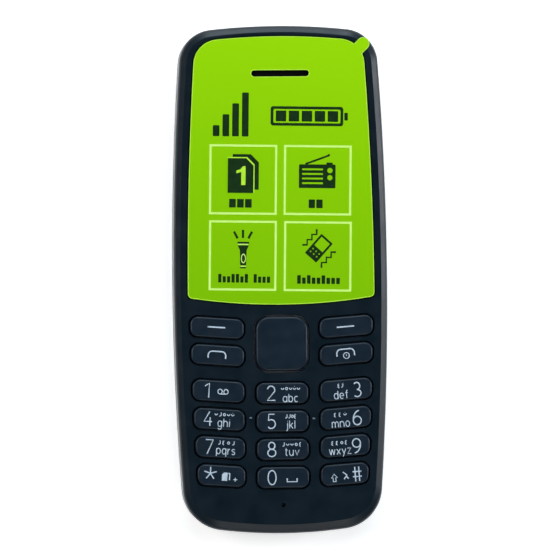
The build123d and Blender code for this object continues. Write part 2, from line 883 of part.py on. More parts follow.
# Headphone socket, sunk into the board, with its nose in the top wall
with BuildPart() as audio_jack:
    with Locations((jack_x, jack_end_y, jack_level)):
        Box(jack_width, jack_depth, jack_height, align=(Align.CENTER, Align.MIN, Align.CENTER))
    with BuildSketch(Plane.XZ.offset(-(jack_mouth_y - jack_recess))) as nose:
        with Locations((jack_x, jack_level)):
            Circle(jack_nose_radius)
    extrude(amount=jack_mouth_y - jack_recess - jack_body_y)
    with BuildSketch(Plane.XZ.offset(-jack_mouth_y)) as socket_bore:
        with Locations((jack_x, jack_level)):
            Circle(jack_bore_radius)
    extrude(amount=jack_mouth_y - jack_end_y, mode=Mode.SUBTRACT)
audio_jack.part.label = "audio_jack"
export_step(audio_jack.part, "parts/audio_jack.step")

# Charging port: a thin shell round a tongue
usb_front_y = usb_mouth_y + usb_recess
with BuildPart() as usb_port:
    with BuildSketch(Plane.XZ.offset(-usb_front_y)) as port_shell:
        with Locations((usb_x, board_top + usb_height / 2)):
            RectangleRounded(usb_width, usb_height, usb_corner)
    extrude(amount=-usb_depth)
    with BuildSketch(Plane.XZ.offset(-usb_front_y)) as port_mouth:
        with Locations((usb_x, board_top + usb_height / 2)):
            RectangleRounded(usb_width - 2 * usb_skin, usb_height - 2 * usb_skin, usb_corner - usb_skin)
    extrude(amount=-(usb_depth - usb_skin), mode=Mode.SUBTRACT)
    with Locations((usb_x, usb_front_y + usb_depth - usb_skin, board_top + usb_height / 2)):
        Box(
            usb_tongue_width,
            usb_tongue_length,
            usb_tongue_thickness,
            align=(Align.CENTER, Align.MAX, Align.CENTER),
        )
usb_port.part.label = "usb_port"
export_step(usb_port.part, "parts/usb_port.step")

# Torch: a lamp on the board and a lens through the top wall
torch_outer_y = top_reach(0) - torch_recess
torch_inner_y = torch_outer_y - torch_length
with BuildPart() as torch_lens:
    with BuildSketch(Plane.XZ.offset(-torch_inner_y)) as lens_disc:
        with Locations((0, torch_level)):
            Circle(torch_radius)
    extrude(amount=-torch_length)
    fillet(torch_lens.faces().sort_by(Axis.Y)[-1].edges(), torch_round)
torch_lens.part.label = "torch_lens"
export_step(torch_lens.part, "parts/torch_lens.step")

with BuildPart() as torch_led:
    with Locations((0, torch_inner_y - torch_led_gap, board_top)):
        Box(torch_led_width, torch_led_depth, torch_led_height, align=(Align.CENTER, Align.MAX, Align.MIN))
torch_led.part.label = "torch_led"
export_step(torch_led.part, "parts/torch_led.step")

# Earpiece receiver under the slot
with BuildPart() as earpiece_receiver:
    with BuildSketch(Plane.XY.offset(ceiling_level - receiver_height)) as receiver_outline:
        with Locations((earpiece_x, earpiece_y)):
            RectangleRounded(receiver_length, receiver_width, receiver_corner)
    extrude(amount=receiver_height)
earpiece_receiver.part.label = "earpiece_receiver"
export_step(earpiece_receiver.part, "parts/earpiece_receiver.step")

# Microphone and the rubber boot that seals it to the front shell
boot_top = ceiling_level - boot_play
with BuildPart() as microphone:
    with Locations((0, mic_y, board_top)):
        Cylinder(mic_radius, mic_height, align=standing)
microphone.part.label = "microphone"
export_step(microphone.part, "parts/microphone.step")

with BuildPart() as mic_boot:
    with Locations((0, mic_y, board_top)):
        Cylinder(mic_radius + boot_wall, boot_top - board_top, align=standing)
        Cylinder(mic_radius + boot_play, mic_height, align=standing, mode=Mode.SUBTRACT)
        Cylinder(mic_hole_radius, boot_top - board_top, align=standing, mode=Mode.SUBTRACT)
mic_boot.part.label = "mic_boot"
export_step(mic_boot.part, "parts/mic_boot.step")

# Shield cans under the board
with BuildPart() as rf_shields:
    with BuildSketch(Plane.XY.offset(board_bottom)) as cans:
        with Locations((upper_shield_x, upper_shield_y)):
            RectangleRounded(upper_shield_width, upper_shield_length, shield_corner)
        with Locations((0, lower_shield_y)):
            RectangleRounded(lower_shield_width, lower_shield_length, shield_corner)
    extrude(amount=-shield_height)
rf_shields.part.label = "rf_shields"
export_step(rf_shields.part, "parts/rf_shields.step")

# Card holder under the board, reached through the bay's floor
card_holder_level = board_bottom - card_holder_height
card_slot_height = card_holder_height - 2 * card_holder_skin
with BuildPart() as sim_holder:
    with Locations((0, card_holder_y, card_holder_level)):
        Box(card_holder_width, card_holder_length, card_holder_height, align=standing)
    with Locations((0, card_holder_y - card_holder_skin, card_holder_level + card_holder_skin)):
        Box(card_slot_width, card_holder_length, card_slot_height, align=standing, mode=Mode.SUBTRACT)
    with Locations((0, card_holder_y, card_holder_level)):
        Box(card_window_width, card_window_length, card_holder_skin, align=standing, mode=Mode.SUBTRACT)
sim_holder.part.label = "sim_holder"
export_step(sim_holder.part, "parts/sim_holder.step")

# Battery contacts: a block on the board with fingers through the bay's end wall
finger_start_y = battery_y + battery_length / 2 + contact_gap
with BuildPart() as battery_contacts:
    with Locations((0, contact_block_y, board_bottom)):
        Box(
            contact_block_width,
            contact_block_depth,
            contact_block_drop,
            align=(Align.CENTER, Align.MIN, Align.MAX),
        )
    with Locations(*[(x, finger_start_y, terminal_level) for x in terminal_places_x]):
        Box(
            contact_width,
            contact_block_y - finger_start_y,
            contact_height,
            align=(Align.CENTER, Align.MIN, Align.CENTER),
        )
battery_contacts.part.label = "battery_contacts"
export_step(battery_contacts.part, "parts/battery_contacts.step")

# Battery and the terminals let into its end
with BuildPart() as battery:
    with BuildSketch(Plane.XY.offset(rear_level)) as battery_outline:
        with Locations((0, battery_y)):
            RectangleRounded(battery_width, battery_length, battery_corner)
    extrude(amount=battery_thickness)
    fillet(battery.faces().sort_by(Axis.Z)[-1].edges(), battery_edge)
    fillet(battery.faces().sort_by(Axis.Z)[0].edges(), battery_edge)
    with Locations(*[(x, battery_y + battery_length / 2, terminal_level) for x in terminal_places_x]):
        Box(
            terminal_width,
            terminal_thickness,
            terminal_height,
            align=(Align.CENTER, Align.MAX, Align.CENTER),
            mode=Mode.SUBTRACT,
        )
battery.part.label = "battery"
export_step(battery.part, "parts/battery.step")

with BuildPart() as battery_terminals:
    with Locations(*[(x, battery_y + battery_length / 2, terminal_level) for x in terminal_places_x]):
        Box(
            terminal_width,
            terminal_thickness,
            terminal_height,
            align=(Align.CENTER, Align.MAX, Align.CENTER),
        )
battery_terminals.part.label = "battery_terminals"
export_step(battery_terminals.part, "parts/battery_terminals.step")

# Rear housing: a tray with the battery bay moulded into it
rear_inset = cover_wall + rear_clearance
rear_edge_radius = back_edge_radius - cover_wall - cover_play
bay_half_width = battery_width / 2 + bay_play
bay_length = battery_length + 2 * bay_play
catch_level = seam_level - catch_drop - catch_height
catch_places_y = [share * half_length for share in catch_y_shares]
catch_width = catch_depth + cover_wall / 2
hollow_depth = seam_level - rear_floor_level + overrun
with BuildPart() as rear_hollow:
    extrude(housing_outline(rear_floor_level, rear_inset + rear_wall), amount=hollow_depth)
    fillet(rear_hollow.faces().sort_by(Axis.Z)[0].edges(), rear_edge_radius - rear_wall)

with BuildPart() as rear_housing:
    extrude(housing_outline(rear_level, rear_inset), amount=seam_level - rear_level)
    fillet(rear_housing.faces().sort_by(Axis.Z)[0].edges(), rear_edge_radius)
    add(rear_hollow.part, mode=Mode.SUBTRACT)
    # Columns for the screws
    with BuildSketch(Plane.XY.offset(rear_floor_level)) as columns:
        with Locations(*screw_places):
            Circle(column_radius)
        add(housing_outline(0, rear_inset + rear_wall / 2), mode=Mode.INTERSECT)
    extrude(amount=seam_level - rear_floor_level)
    # Battery bay
    with Locations((0, battery_y, rear_level)):
        Box(
            2 * (bay_half_width + bay_wall),
            bay_length + 2 * bay_wall,
            bay_top - rear_level,
            align=standing,
        )
        Box(
            2 * bay_half_width,
            bay_length,
            bay_ceiling - rear_level,
            align=standing,
            mode=Mode.SUBTRACT,
        )
    with Locations((0, card_holder_y, bay_ceiling)):
        Box(
            card_holder_width + 2 * card_window_play,
            card_holder_length + 2 * card_window_play,
            bay_floor,
            align=standing,
            mode=Mode.SUBTRACT,
        )
    with Locations((0, bay_end_y, terminal_level)):
        Box(
            contact_block_width - 2 * contact_slot_play,
            bay_wall,
            contact_height + 2 * contact_slot_play,
            align=(Align.CENTER, Align.MIN, Align.CENTER),
            mode=Mode.SUBTRACT,
        )
    # Screw holes, driven from the back
    with Locations(*[(x, y, rear_level - overrun) for x, y in screw_places]):
        Cylinder(pilot_radius, seam_level - rear_level + 2 * overrun, align=standing, mode=Mode.SUBTRACT)
        Cylinder(
            head_radius + head_play,
            head_level - rear_level + overrun,
            align=standing,
            mode=Mode.SUBTRACT,
        )
    extrude(speaker_slots(rear_level - overrun), amount=rear_wall + 2 * overrun, mode=Mode.SUBTRACT)
    # Grooves that the cover's catches run in
    for catch_y in catch_places_y:
        for side in (-1, 1):
            with Locations((side * (side_reach(catch_y) - cover_wall), catch_y, rear_level - overrun)):
                Box(
                    2 * (catch_depth + catch_play),
                    catch_length + 2 * catch_play,
                    catch_level + catch_height + catch_play - rear_level + overrun,
                    align=standing,
                    mode=Mode.SUBTRACT,
                )
rear_housing.part.label = "rear_housing"
export_step(rear_housing.part, "parts/rear_housing.step")

# Battery cover: a thin shell that wraps the back and the lower half of the sides
with BuildPart() as battery_cover:
    extrude(housing_outline(0, 0), amount=seam_level - seam_gap)
    fillet(battery_cover.faces().sort_by(Axis.Z)[0].edges(), back_edge_radius)
    offset(amount=-cover_wall, openings=battery_cover.faces().sort_by(Axis.Z)[-1])
    extrude(speaker_slots(-overrun), amount=cover_wall + 2 * overrun, mode=Mode.SUBTRACT)
    for catch_y in catch_places_y:
        for side in (-1, 1):
            catch_x = side_reach(catch_y) - cover_wall - catch_depth
            with Locations((side * (catch_x + catch_width / 2), catch_y, catch_level)):
                Box(catch_width, catch_length, catch_height, align=standing)
    with Locations((0, -bottom_reach(0), seam_level - seam_gap)):
        Box(pry_length, 2 * pry_depth, 2 * pry_height, mode=Mode.SUBTRACT)
battery_cover.part.label = "battery_cover"
export_step(battery_cover.part, "parts/battery_cover.step")

# Screws that hold the rear housing to the front shell
with BuildPart() as housing_screws:
    with Locations(*[(x, y, head_level) for x, y in screw_places]):
        Cylinder(head_radius, head_height, align=hanging)
        Cylinder(screw_radius, screw_length, align=standing)
    for driver_turn in (0, 90):
        with Locations(*[(x, y, head_level - head_height) for x, y in screw_places]):
            Box(
                driver_length,
                driver_width,
                driver_depth,
                rotation=(0, 0, driver_turn),
                align=standing,
                mode=Mode.SUBTRACT,
            )
housing_screws.part.label = "housing_screws"
export_step(housing_screws.part, "parts/housing_screws.step")

# Loudspeaker, facing the slots in the back
speaker_level = rear_floor_level + speaker_mesh_thickness
with BuildPart() as speaker_mesh:
    with BuildSketch(Plane.XY.offset(rear_floor_level)) as mesh_outline:
        with Locations((speaker_x, speaker_y)):
            RectangleRounded(
                speaker_width - 2 * speaker_mesh_margin,
                speaker_length - 2 * speaker_mesh_margin,
                speaker_corner - speaker_mesh_margin,
            )
    extrude(amount=speaker_mesh_thickness)
speaker_mesh.part.label = "speaker_mesh"
export_step(speaker_mesh.part, "parts/speaker_mesh.step")

with BuildPart() as loudspeaker:
    with BuildSketch(Plane.XY.offset(speaker_level)) as speaker_outline:
        with Locations((speaker_x, speaker_y)):
            RectangleRounded(speaker_width, speaker_length, speaker_corner)
    extrude(amount=speaker_height)
    with Locations((speaker_x, speaker_y, speaker_level)):
        Cylinder(cone_radius, cone_depth, align=standing, mode=Mode.SUBTRACT)
loudspeaker.part.label = "loudspeaker"
export_step(loudspeaker.part, "parts/loudspeaker.step")

# Vibration motor in a rubber sleeve, with a half-round weight on its shaft
weight_radius = motor_radius - weight_play
motor_level = rear_floor_level + sleeve_half
motor_end_x = motor_x + motor_length / 2
with BuildPart() as vibration_motor:
    with BuildSketch(Plane.YZ.offset(motor_x - motor_length / 2)) as can:
        with Locations((motor_y, motor_level)):
            Circle(motor_radius)
    extrude(amount=motor_length)
    with BuildSketch(Plane.YZ.offset(motor_end_x)) as shaft_bore:
        with Locations((motor_y, motor_level)):
            Circle(shaft_radius + shaft_play)
    extrude(amount=-shaft_grip, mode=Mode.SUBTRACT)
vibration_motor.part.label = "vibration_motor"
export_step(vibration_motor.part, "parts/vibration_motor.step")

with BuildPart() as motor_sleeve:
    with Locations((motor_x, motor_y, motor_level)):
        Box(motor_sleeve_length, 2 * sleeve_half, 2 * sleeve_half)
        Cylinder(
            motor_radius + motor_sleeve_play,
            motor_sleeve_length,
            rotation=(0, 90, 0),
            mode=Mode.SUBTRACT,
        )
motor_sleeve.part.label = "motor_sleeve"
export_step(motor_sleeve.part, "parts/motor_sleeve.step")

with BuildPart() as motor_weight:
    with BuildSketch(Plane.YZ.offset(motor_end_x - shaft_grip + shaft_play)) as shaft:
        with Locations((motor_y, motor_level)):
            Circle(shaft_radius)
    extrude(amount=shaft_grip - shaft_play + weight_gap + weight_length)
    with BuildSketch(Plane.YZ.offset(motor_end_x + weight_gap)) as half_round:
        with Locations((motor_y, motor_level)):
            Circle(weight_radius)
            Rectangle(
                2 * weight_radius,
                weight_radius,
                align=(Align.CENTER, Align.MIN),
                mode=Mode.SUBTRACT,
            )
            Circle(2 * shaft_radius)
    extrude(amount=weight_length)
motor_weight.part.label = "motor_weight"
export_step(motor_weight.part, "parts/motor_weight.step")

# Antenna: a slotted strip on the floor of the rear housing
with BuildPart() as gsm_antenna:
    slot_step = antenna_width / (antenna_slot_count + 1)
    with BuildSketch(Plane.XY.offset(rear_floor_level)) as strip:
        with Locations((0, antenna_y)):
            Rectangle(antenna_width, antenna_length)
        for slot in range(antenna_slot_count):
            slot_x = (slot + 1) * slot_step - antenna_width / 2
            end = 1 if slot % 2 else -1
            with Locations((slot_x, antenna_y + end * antenna_length * (1 - antenna_slot_share) / 2)):
                Rectangle(
                    antenna_slot_width,
                    antenna_length * antenna_slot_share,
                    mode=Mode.SUBTRACT,
                )
    extrude(amount=antenna_thickness)
gsm_antenna.part.label = "gsm_antenna"
export_step(gsm_antenna.part, "parts/gsm_antenna.step")
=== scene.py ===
import math

import bmesh
import bpy
from mathutils import Matrix, Vector


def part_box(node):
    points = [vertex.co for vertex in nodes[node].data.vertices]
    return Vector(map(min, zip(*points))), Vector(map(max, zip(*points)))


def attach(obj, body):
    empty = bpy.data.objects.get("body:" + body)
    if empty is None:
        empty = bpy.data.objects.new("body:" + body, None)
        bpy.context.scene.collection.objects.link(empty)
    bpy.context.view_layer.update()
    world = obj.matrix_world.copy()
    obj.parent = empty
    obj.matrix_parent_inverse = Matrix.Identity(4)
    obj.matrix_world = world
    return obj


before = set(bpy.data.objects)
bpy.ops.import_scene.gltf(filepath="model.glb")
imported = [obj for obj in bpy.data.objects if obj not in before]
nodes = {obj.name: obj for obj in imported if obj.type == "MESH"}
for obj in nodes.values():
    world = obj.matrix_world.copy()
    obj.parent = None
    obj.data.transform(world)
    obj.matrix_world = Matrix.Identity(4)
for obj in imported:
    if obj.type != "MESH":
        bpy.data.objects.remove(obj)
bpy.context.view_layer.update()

# A keypad phone on its back, in metres. The sizes below are in millimetres, in the frame's axes:
# +X right, +Y towards the earpiece, +Z out of the face.
MM = 0.001

# How the photograph sees the phone
IMAGE_SIDE = 560
PIXELS_PER_MM = 4.311
PHONE_CENTRE_PX = (279.4, 279.6)
FACE_SHIFT_PX = 1.7
LEAN_DEGREES = 0.58
CAMERA_SIDE_DEGREES = 4.0
CAMERA_DISTANCE = 1.2
SENSOR_WIDTH = 36.0
CLIP_START, CLIP_END = 0.05, 20.0

# Places in the photograph, in pixels
RIDGE_PIXELS = ((250.6, 417.8), (314.0, 418.5))
FRAME_PIXELS = {
    "card": (243.0, 179.6), "radio": (317.7, 180.2),
    "torch": (242.6, 255.6), "vibration": (317.8, 256.4),
}
BLOCK_ROW_PIXELS = {
    "card": ((229.0, 203.4), (251.6, 203.4)),
    "radio": ((308.7, 203.8), (322.7, 203.8)),
    "torch": ((218.1, 278.6), (270.0, 278.8)),
    "vibration": ((297.2, 279.8), (340.0, 280.0)),
}
FRONT_CARD_PIXEL, BACK_CARD_PIXEL = (240.5, 175.6), (245.6, 171.9)
RADIO_PIXEL = (317.3, 176.2)
TORCH_PIXEL, SWITCH_PIXEL = (243.1, 255.3), (243.3, 258.5)
HEAD_BAND_PIXEL, FOOT_BAND_PIXEL = (243.3, 244.3), (243.3, 266.4)
SHAKING_PHONE_PIXEL = (318.9, 248.2)
UPPER_ZIGZAG_PIXEL, LOWER_ZIGZAG_PIXEL = (309.4, 237.2), (329.0, 259.8)
LEVEL_BARS_PIXEL, CELL_PIXEL = (213.0, 136.6), (307.0, 116.2)


def box_of(node):
    """Lowest and highest corner of a CAD node, in millimetres."""
    low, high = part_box(node)
    return Vector(low) / MM, Vector(high) / MM


def from_photo(pixel_x, pixel_y):
    """Where a pixel of the phone's face lies on it, in millimetres."""
    across = pixel_x - PHONE_CENTRE_PX[0] - FACE_SHIFT_PX
    up = PHONE_CENTRE_PX[1] - pixel_y
    lean = math.radians(LEAN_DEGREES)
    x = (across * math.cos(lean) + up * math.sin(lean)) / PIXELS_PER_MM
    y = (up * math.cos(lean) - across * math.sin(lean)) / PIXELS_PER_MM
    return x, y


film_low, film_high = box_of("protective_film")
film_top = film_high.z

# Materials: a principled shader with mottled colour, uneven gloss and grain, all procedural.
# A helper's owner is a material or the world.
WHITE = (1, 1, 1, 1)
SRGB_TOE = 0.04045
COAT_ROUGHNESS = 0.08
DRIFT_SPREAD = 0.18
NOISE_LOW, NOISE_HIGH = 0.3, 0.7


def linear(colour):
    """An 8-bit sRGB colour as the linear one that shaders take."""
    parts = [channel / 255 for channel in colour]
    return [p / 12.92 if p <= SRGB_TOE else ((p + 0.055) / 1.055) ** 2.4 for p in parts] + [1]


def new_material(
    name, roughness=0.5, metallic=0.0, specular=0.5, coat=0.0, transmission=0.0, ior=1.46
):
    """A material with its plain values on the shader's own sockets."""
    material = bpy.data.materials.new(name)
    material.use_nodes = True
    shader = material.node_tree.nodes["Principled BSDF"]
    shader.inputs["Roughness"].default_value = roughness
    shader.inputs["Metallic"].default_value = metallic
    shader.inputs["Specular IOR Level"].default_value = specular
    shader.inputs["Coat Weight"].default_value = coat
    shader.inputs["Coat Roughness"].default_value = COAT_ROUGHNESS
    shader.inputs["Transmission Weight"].default_value = transmission
    shader.inputs["IOR"].default_value = ior
    return material


def add_node(owner, kind, **settings):
    """A node of the owner, with properties and input values set by name."""
    node = owner.node_tree.nodes.new(kind)
    for name, value in settings.items():
        if name in node.inputs:
            node.inputs[name].default_value = value
        else:
            setattr(node, name, value)
    return node


def join(owner, source, target):
    """Links two sockets."""
    owner.node_tree.links.new(source, target)


def feed(material, source, socket_name):
    """Links a socket to an input of the material's shader."""
    join(material, source, material.node_tree.nodes["Principled BSDF"].inputs[socket_name])


def maths(owner, operation, first, second):
    """The result of a Math node on two sockets or numbers."""
    node = add_node(owner, "ShaderNodeMath", operation=operation)
    for place, value in enumerate((first, second)):
        if isinstance(value, (int, float)):
            node.inputs[place].default_value = value
        else:
            join(owner, value, node.inputs[place])
    return node.outputs["Value"]


def remap(owner, value, low, high, new_low=0.0, new_high=1.0):
    """A value moved from one range to another, and held within it."""
    reach = add_node(owner, "ShaderNodeMapRange")
    reach.inputs["From Min"].default_value = low
    reach.inputs["From Max"].default_value = high
    reach.inputs["To Min"].default_value = new_low
    reach.inputs["To Max"].default_value = new_high
    join(owner, value, reach.inputs["Value"])
    return reach.outputs["Result"]


def separated(owner, vector):
    """The X, Y and Z sockets of a vector, by name."""
    split = add_node(owner, "ShaderNodeSeparateXYZ")
    join(owner, vector, split.inputs["Vector"])
    return split.outputs


def places(material, stretch=(1, 1, 1)):
    """Object coordinates, stretched along the axes."""
    coordinates = add_node(material, "ShaderNodeTexCoord")
    mapping = add_node(material, "ShaderNodeMapping")
    mapping.inputs["Scale"].default_value = stretch
    join(material, coordinates.outputs["Object"], mapping.inputs["Vector"])
    return mapping.outputs["Vector"]


def noise(material, size_mm, detail=3.0, stretch=(1, 1, 1)):
    """A noise whose features are about size_mm across."""
    texture = add_node(material, "ShaderNodeTexNoise", Scale=1 / (size_mm * MM), Detail=detail)
    join(material, places(material, stretch), texture.inputs["Vector"])
    return texture.outputs["Fac"]


def paint(material, factor, colours, positions=(0.0, 1.0)):
    """Base colour from a ramp of colours over a factor."""
    ramp = add_node(material, "ShaderNodeValToRGB")
    stops = ramp.color_ramp.elements
    for position in positions[1:-1]:
        stops.new(position)
    for stop, position, colour in zip(list(stops), positions, colours):
        stop.position, stop.color = position, linear(colour)
    join(material, factor, ramp.inputs["Fac"])
    feed(material, ramp.outputs["Color"], "Base Color")


def mottle(material, first, second, size_mm, stretch=(1, 1, 1)):
    """Base colour that drifts between two colours."""
    drift = noise(material, size_mm, stretch=stretch)
    paint(material, drift, (first, second), (0.5 - DRIFT_SPREAD, 0.5 + DRIFT_SPREAD))


def gloss(material, low, high, size_mm, stretch=(1, 1, 1)):
    """Roughness that varies over the surface."""
    drift = noise(material, size_mm, stretch=stretch)
    feed(material, remap(material, drift, NOISE_LOW, NOISE_HIGH, low, high), "Roughness")


def raise_surface(material, height, depth_mm):
    """Bump from a height socket."""
    bump = add_node(material, "ShaderNodeBump", Strength=1.0, Distance=depth_mm * MM)
    join(material, height, bump.inputs["Height"])
    feed(material, bump.outputs["Normal"], "Normal")


def grain(material, size_mm, depth_mm, detail=4.0, stretch=(1, 1, 1)):
    """Fine relief, such as a moulded texture."""
    raise_surface(material, noise(material, size_mm, detail, stretch), depth_mm)


def moulded(
    name, first, second, low, high, size_mm=6.0, grain_mm=0.12, depth_mm=0.004, **settings
):
    """Moulded plastic or rubber: drifting colour, uneven gloss, a fine texture."""
    material = new_material(name, **settings)
    mottle(material, first, second, size_mm)
    gloss(material, low, high, size_mm / 2)
    grain(material, grain_mm, depth_mm)
    return material


def brushed(name, first, second, low, high, along=(1, 14, 14), size_mm=2.0, depth_mm=0.002):
    """Metal with fine lines along one axis."""
    material = new_material(name, metallic=1.0)
    mottle(material, first, second, size_mm, along)
    gloss(material, low, high, size_mm, along)
    grain(material, size_mm / 4, depth_mm, stretch=along)
    return material


# Bands of a wave texture in one unit of length, at a scale of 1
WAVE_BANDS = 3.18


def woven(name, first, second, pitch_mm, depth_mm, roughness=0.8, specular=0.3):
    """A fine cloth or wire mesh of crossing threads."""
    material = new_material(name, roughness=roughness, specular=specular)
    scale = 1 / (pitch_mm * MM * WAVE_BANDS)
    threads = []
    for direction in ("X", "Y"):
        wave = add_node(material, "ShaderNodeTexWave", bands_direction=direction, Scale=scale)
        join(material, places(material), wave.inputs["Vector"])
        threads.append(wave.outputs["Fac"])
    cross = maths(material, "MAXIMUM", *threads)
    paint(material, cross, (first, second))
    raise_surface(material, cross, depth_mm)
    return material


# The film's greens, darker to brighter: their spread is partly painted light and partly flow lines
FILM_GREENS = ((130, 195, 2), (140, 206, 1), (154, 219, 2))
FILM_LIGHT_AND_FLOW = 0.05
FLOW_SIZE, FLOW_STRETCH = 14.0, (1, 0.35, 1)


def film_green():
    """The green film: painted light makes it brighter towards the top and a little towards the
    right, with the faint flow lines of drawn plastic.
    """
    material = new_material("film_green", roughness=0.32, specular=0.2)
    place = separated(material, places(material))
    # Painted light: the green brightens towards the top and a little towards the right
    height = remap(material, place["Y"], film_low.y * MM, film_high.y * MM)
    side = remap(
        material, place["X"], film_low.x * MM, film_high.x * MM, -FILM_LIGHT_AND_FLOW, FILM_LIGHT_AND_FLOW
    )
    lines = noise(material, FLOW_SIZE, 2.0, FLOW_STRETCH)
    flow = remap(material, lines, 0.0, 1.0, -FILM_LIGHT_AND_FLOW, FILM_LIGHT_AND_FLOW)
    total = maths(material, "ADD", maths(material, "ADD", height, side), flow)
    paint(material, total, FILM_GREENS, (0.0, 0.5, 1.0))
    grain(material, 3.0, 0.006, 2.0)
    return material


# How much of the display module shows its picture, and how much the window's colour drifts
DISPLAY_SHARE = 0.84
WINDOW_DRIFT = 0.3


def printed_window(name, border, display, low, high):
    """A hard-coated window: a dark printed border round the grey of the display that is off."""
    material = new_material(name, specular=0.2)
    display_low, display_high = box_of("lcd_module")
    middle = (display_low + display_high) / 2
    half = (display_high - display_low) * DISPLAY_SHARE / 2
    place = separated(material, places(material))
    inside = 1
    for axis in ("x", "y"):
        centre, reach = getattr(middle, axis) * MM, getattr(half, axis) * MM
        offset = maths(material, "SUBTRACT", place[axis.upper()], centre)
        near = maths(material, "LESS_THAN", maths(material, "ABSOLUTE", offset, 0), reach)
        inside = maths(material, "MULTIPLY", inside, near)
    drift = maths(material, "MULTIPLY", noise(material, 12.0), WINDOW_DRIFT)
    steady = maths(material, "MULTIPLY", inside, 1 - WINDOW_DRIFT)
    paint(material, maths(material, "ADD", steady, drift), (border, display))
    gloss(material, low, high, 6.0)
    grain(material, 2.0, 0.001)
    return material


TRACK_LENGTH, TRACK_PITCH, TRACK_GAP, TRACK_OFFSET = 1.7, 0.6, 0.07, 0.37


def circuit_board():
    """Green solder mask over fine copper lines."""
    material = new_material("circuit_board", roughness=0.38)
    lines = add_node(material, "ShaderNodeTexBrick", offset=TRACK_OFFSET, Scale=1.0)
    lines.inputs["Color1"].default_value = linear((16, 84, 44))
    lines.inputs["Color2"].default_value = linear((22, 98, 54))
    lines.inputs["Mortar"].default_value = linear((48, 132, 74))
    lines.inputs["Brick Width"].default_value = TRACK_LENGTH * MM
    lines.inputs["Row Height"].default_value = TRACK_PITCH * MM
    lines.inputs["Mortar Size"].default_value = TRACK_GAP * MM
    join(material, places(material), lines.inputs["Vector"])
    feed(material, lines.outputs["Color"], "Base Color")
    raise_surface(material, lines.outputs["Fac"], 0.02)
    return material


# Moulded: two colours, lowest and highest roughness, then the sizes of drift and grain, its depth
housing_plastic = moulded(
    "housing_plastic", (7, 22, 31), (11, 26, 36), 0.27, 0.36, 9.0, 0.1, 0.003, specular=0.42
)
key_plastic = moulded(
    "key_plastic", (17, 31, 42), (22, 36, 49), 0.28, 0.38, 5.0, 0.1, 0.003, specular=0.36
)
rear_plastic = moulded("rear_plastic", (14, 19, 25), (20, 26, 32), 0.5, 0.66, 8.0, 0.22, 0.012)
cover_plastic = moulded("cover_plastic", (13, 22, 29), (19, 29, 37), 0.47, 0.55, 10.0, 0.3, 0.016)
window_plastic = printed_window("window_plastic", (6, 9, 12), (30, 37, 42), 0.27, 0.3)
print_ink = moulded(
    "print_ink", (180, 196, 212), (198, 212, 225), 0.45, 0.6, 1.0, 0.06, 0.002, specular=0.2
)
dark_ink = moulded(
    "dark_ink", (9, 38, 8), (15, 50, 12), 0.4, 0.55, 1.5, 0.08, 0.002, specular=0.2
)
light_ink = moulded(
    "light_ink", (205, 252, 118), (216, 255, 134), 0.4, 0.55, 1.5, 0.08, 0.002, specular=0.2
)
# Lighter green: print on the card pictogram, and a painted highlight along the film's cut edge
print_and_highlight_ink = moulded("print_and_highlight_ink", (178, 236, 48), (194, 246, 70), 0.25, 0.4, 1.5, 0.1, 0.002)
# Light grey for painted highlights on the tops of the ridges beside the middle key
ridge_highlight = moulded("ridge_highlight", (96, 110, 122), (116, 130, 142), 0.4, 0.5, 0.8, 0.1, 0.003)
film_material = film_green()
board_material = circuit_board()
silicone = moulded("silicone", (150, 158, 166), (172, 180, 187), 0.55, 0.7, 3.0, 0.15, 0.01)
dark_rubber = moulded("dark_rubber", (22, 22, 24), (34, 34, 36), 0.6, 0.8, 2.0, 0.1, 0.02)
foam = moulded("foam", (30, 31, 34), (50, 51, 54), 0.85, 0.95, 0.7, 0.16, 0.06)
socket_plastic = moulded("socket_plastic", (16, 16, 18), (25, 25, 28), 0.35, 0.5, 2.0, 0.12, 0.006)
polyester = moulded("polyester", (206, 207, 202), (222, 223, 219), 0.2, 0.32, 5.0, 0.6, 0.004)
cell_wrap = moulded("cell_wrap", (58, 60, 66), (72, 75, 82), 0.28, 0.4, 7.0, 0.8, 0.012)
label_paper = moulded("label_paper", (222, 224, 226), (234, 236, 238), 0.45, 0.6, 4.0, 0.14, 0.004)
adhesive = moulded("adhesive", (24, 24, 26), (36, 36, 38), 0.3, 0.6, 1.6, 0.2, 0.02)
ribbon_film = moulded("ribbon_film", (176, 110, 28), (196, 130, 40), 0.22, 0.34, 2.4, 0.4, 0.006)
lamp_resin = moulded("lamp_resin", (226, 222, 150), (240, 236, 180), 0.2, 0.3, 0.6, 0.1, 0.004)
clear_resin = moulded(
    "clear_resin", (214, 226, 232), (236, 244, 248), 0.04, 0.1, 3.0, 1.0, 0.002,
    transmission=0.85, ior=1.49,
)
display_glass = moulded(
    "display_glass", (28, 34, 40), (38, 46, 52), 0.06, 0.12, 8.0, 3.0, 0.001, coat=0.6
)
# Brushed: two colours, lowest and highest roughness, then the lines' direction, size and depth
steel = brushed("steel", (176, 178, 182), (198, 200, 204), 0.26, 0.42)
zinc_steel = brushed("zinc_steel", (150, 152, 158), (182, 184, 190), 0.28, 0.46, (14, 14, 1), 1.2)
dome_steel = brushed("dome_steel", (190, 191, 193), (208, 209, 211), 0.2, 0.34, (1, 5, 5), 0.8)
gold = brushed("gold", (226, 178, 88), (240, 196, 110), 0.2, 0.34)
tungsten = brushed("tungsten", (92, 92, 96), (118, 118, 122), 0.34, 0.5, (16, 1, 1), 0.6, 0.004)
motor_steel = brushed("motor_steel", (168, 170, 174), (190, 192, 196), 0.24, 0.4, (12, 1, 1), 0.9)
# Woven: two colours, the threads' pitch and depth, then roughness
receiver_mesh = woven("receiver_mesh", (1, 2, 2), (9, 10, 11), 0.22, 0.03, specular=0.1)
loudspeaker_mesh = woven("loudspeaker_mesh", (6, 6, 7), (34, 35, 38), 0.3, 0.04)
membrane = woven("membrane", (20, 20, 22), (38, 38, 42), 0.5, 0.03, 0.5)

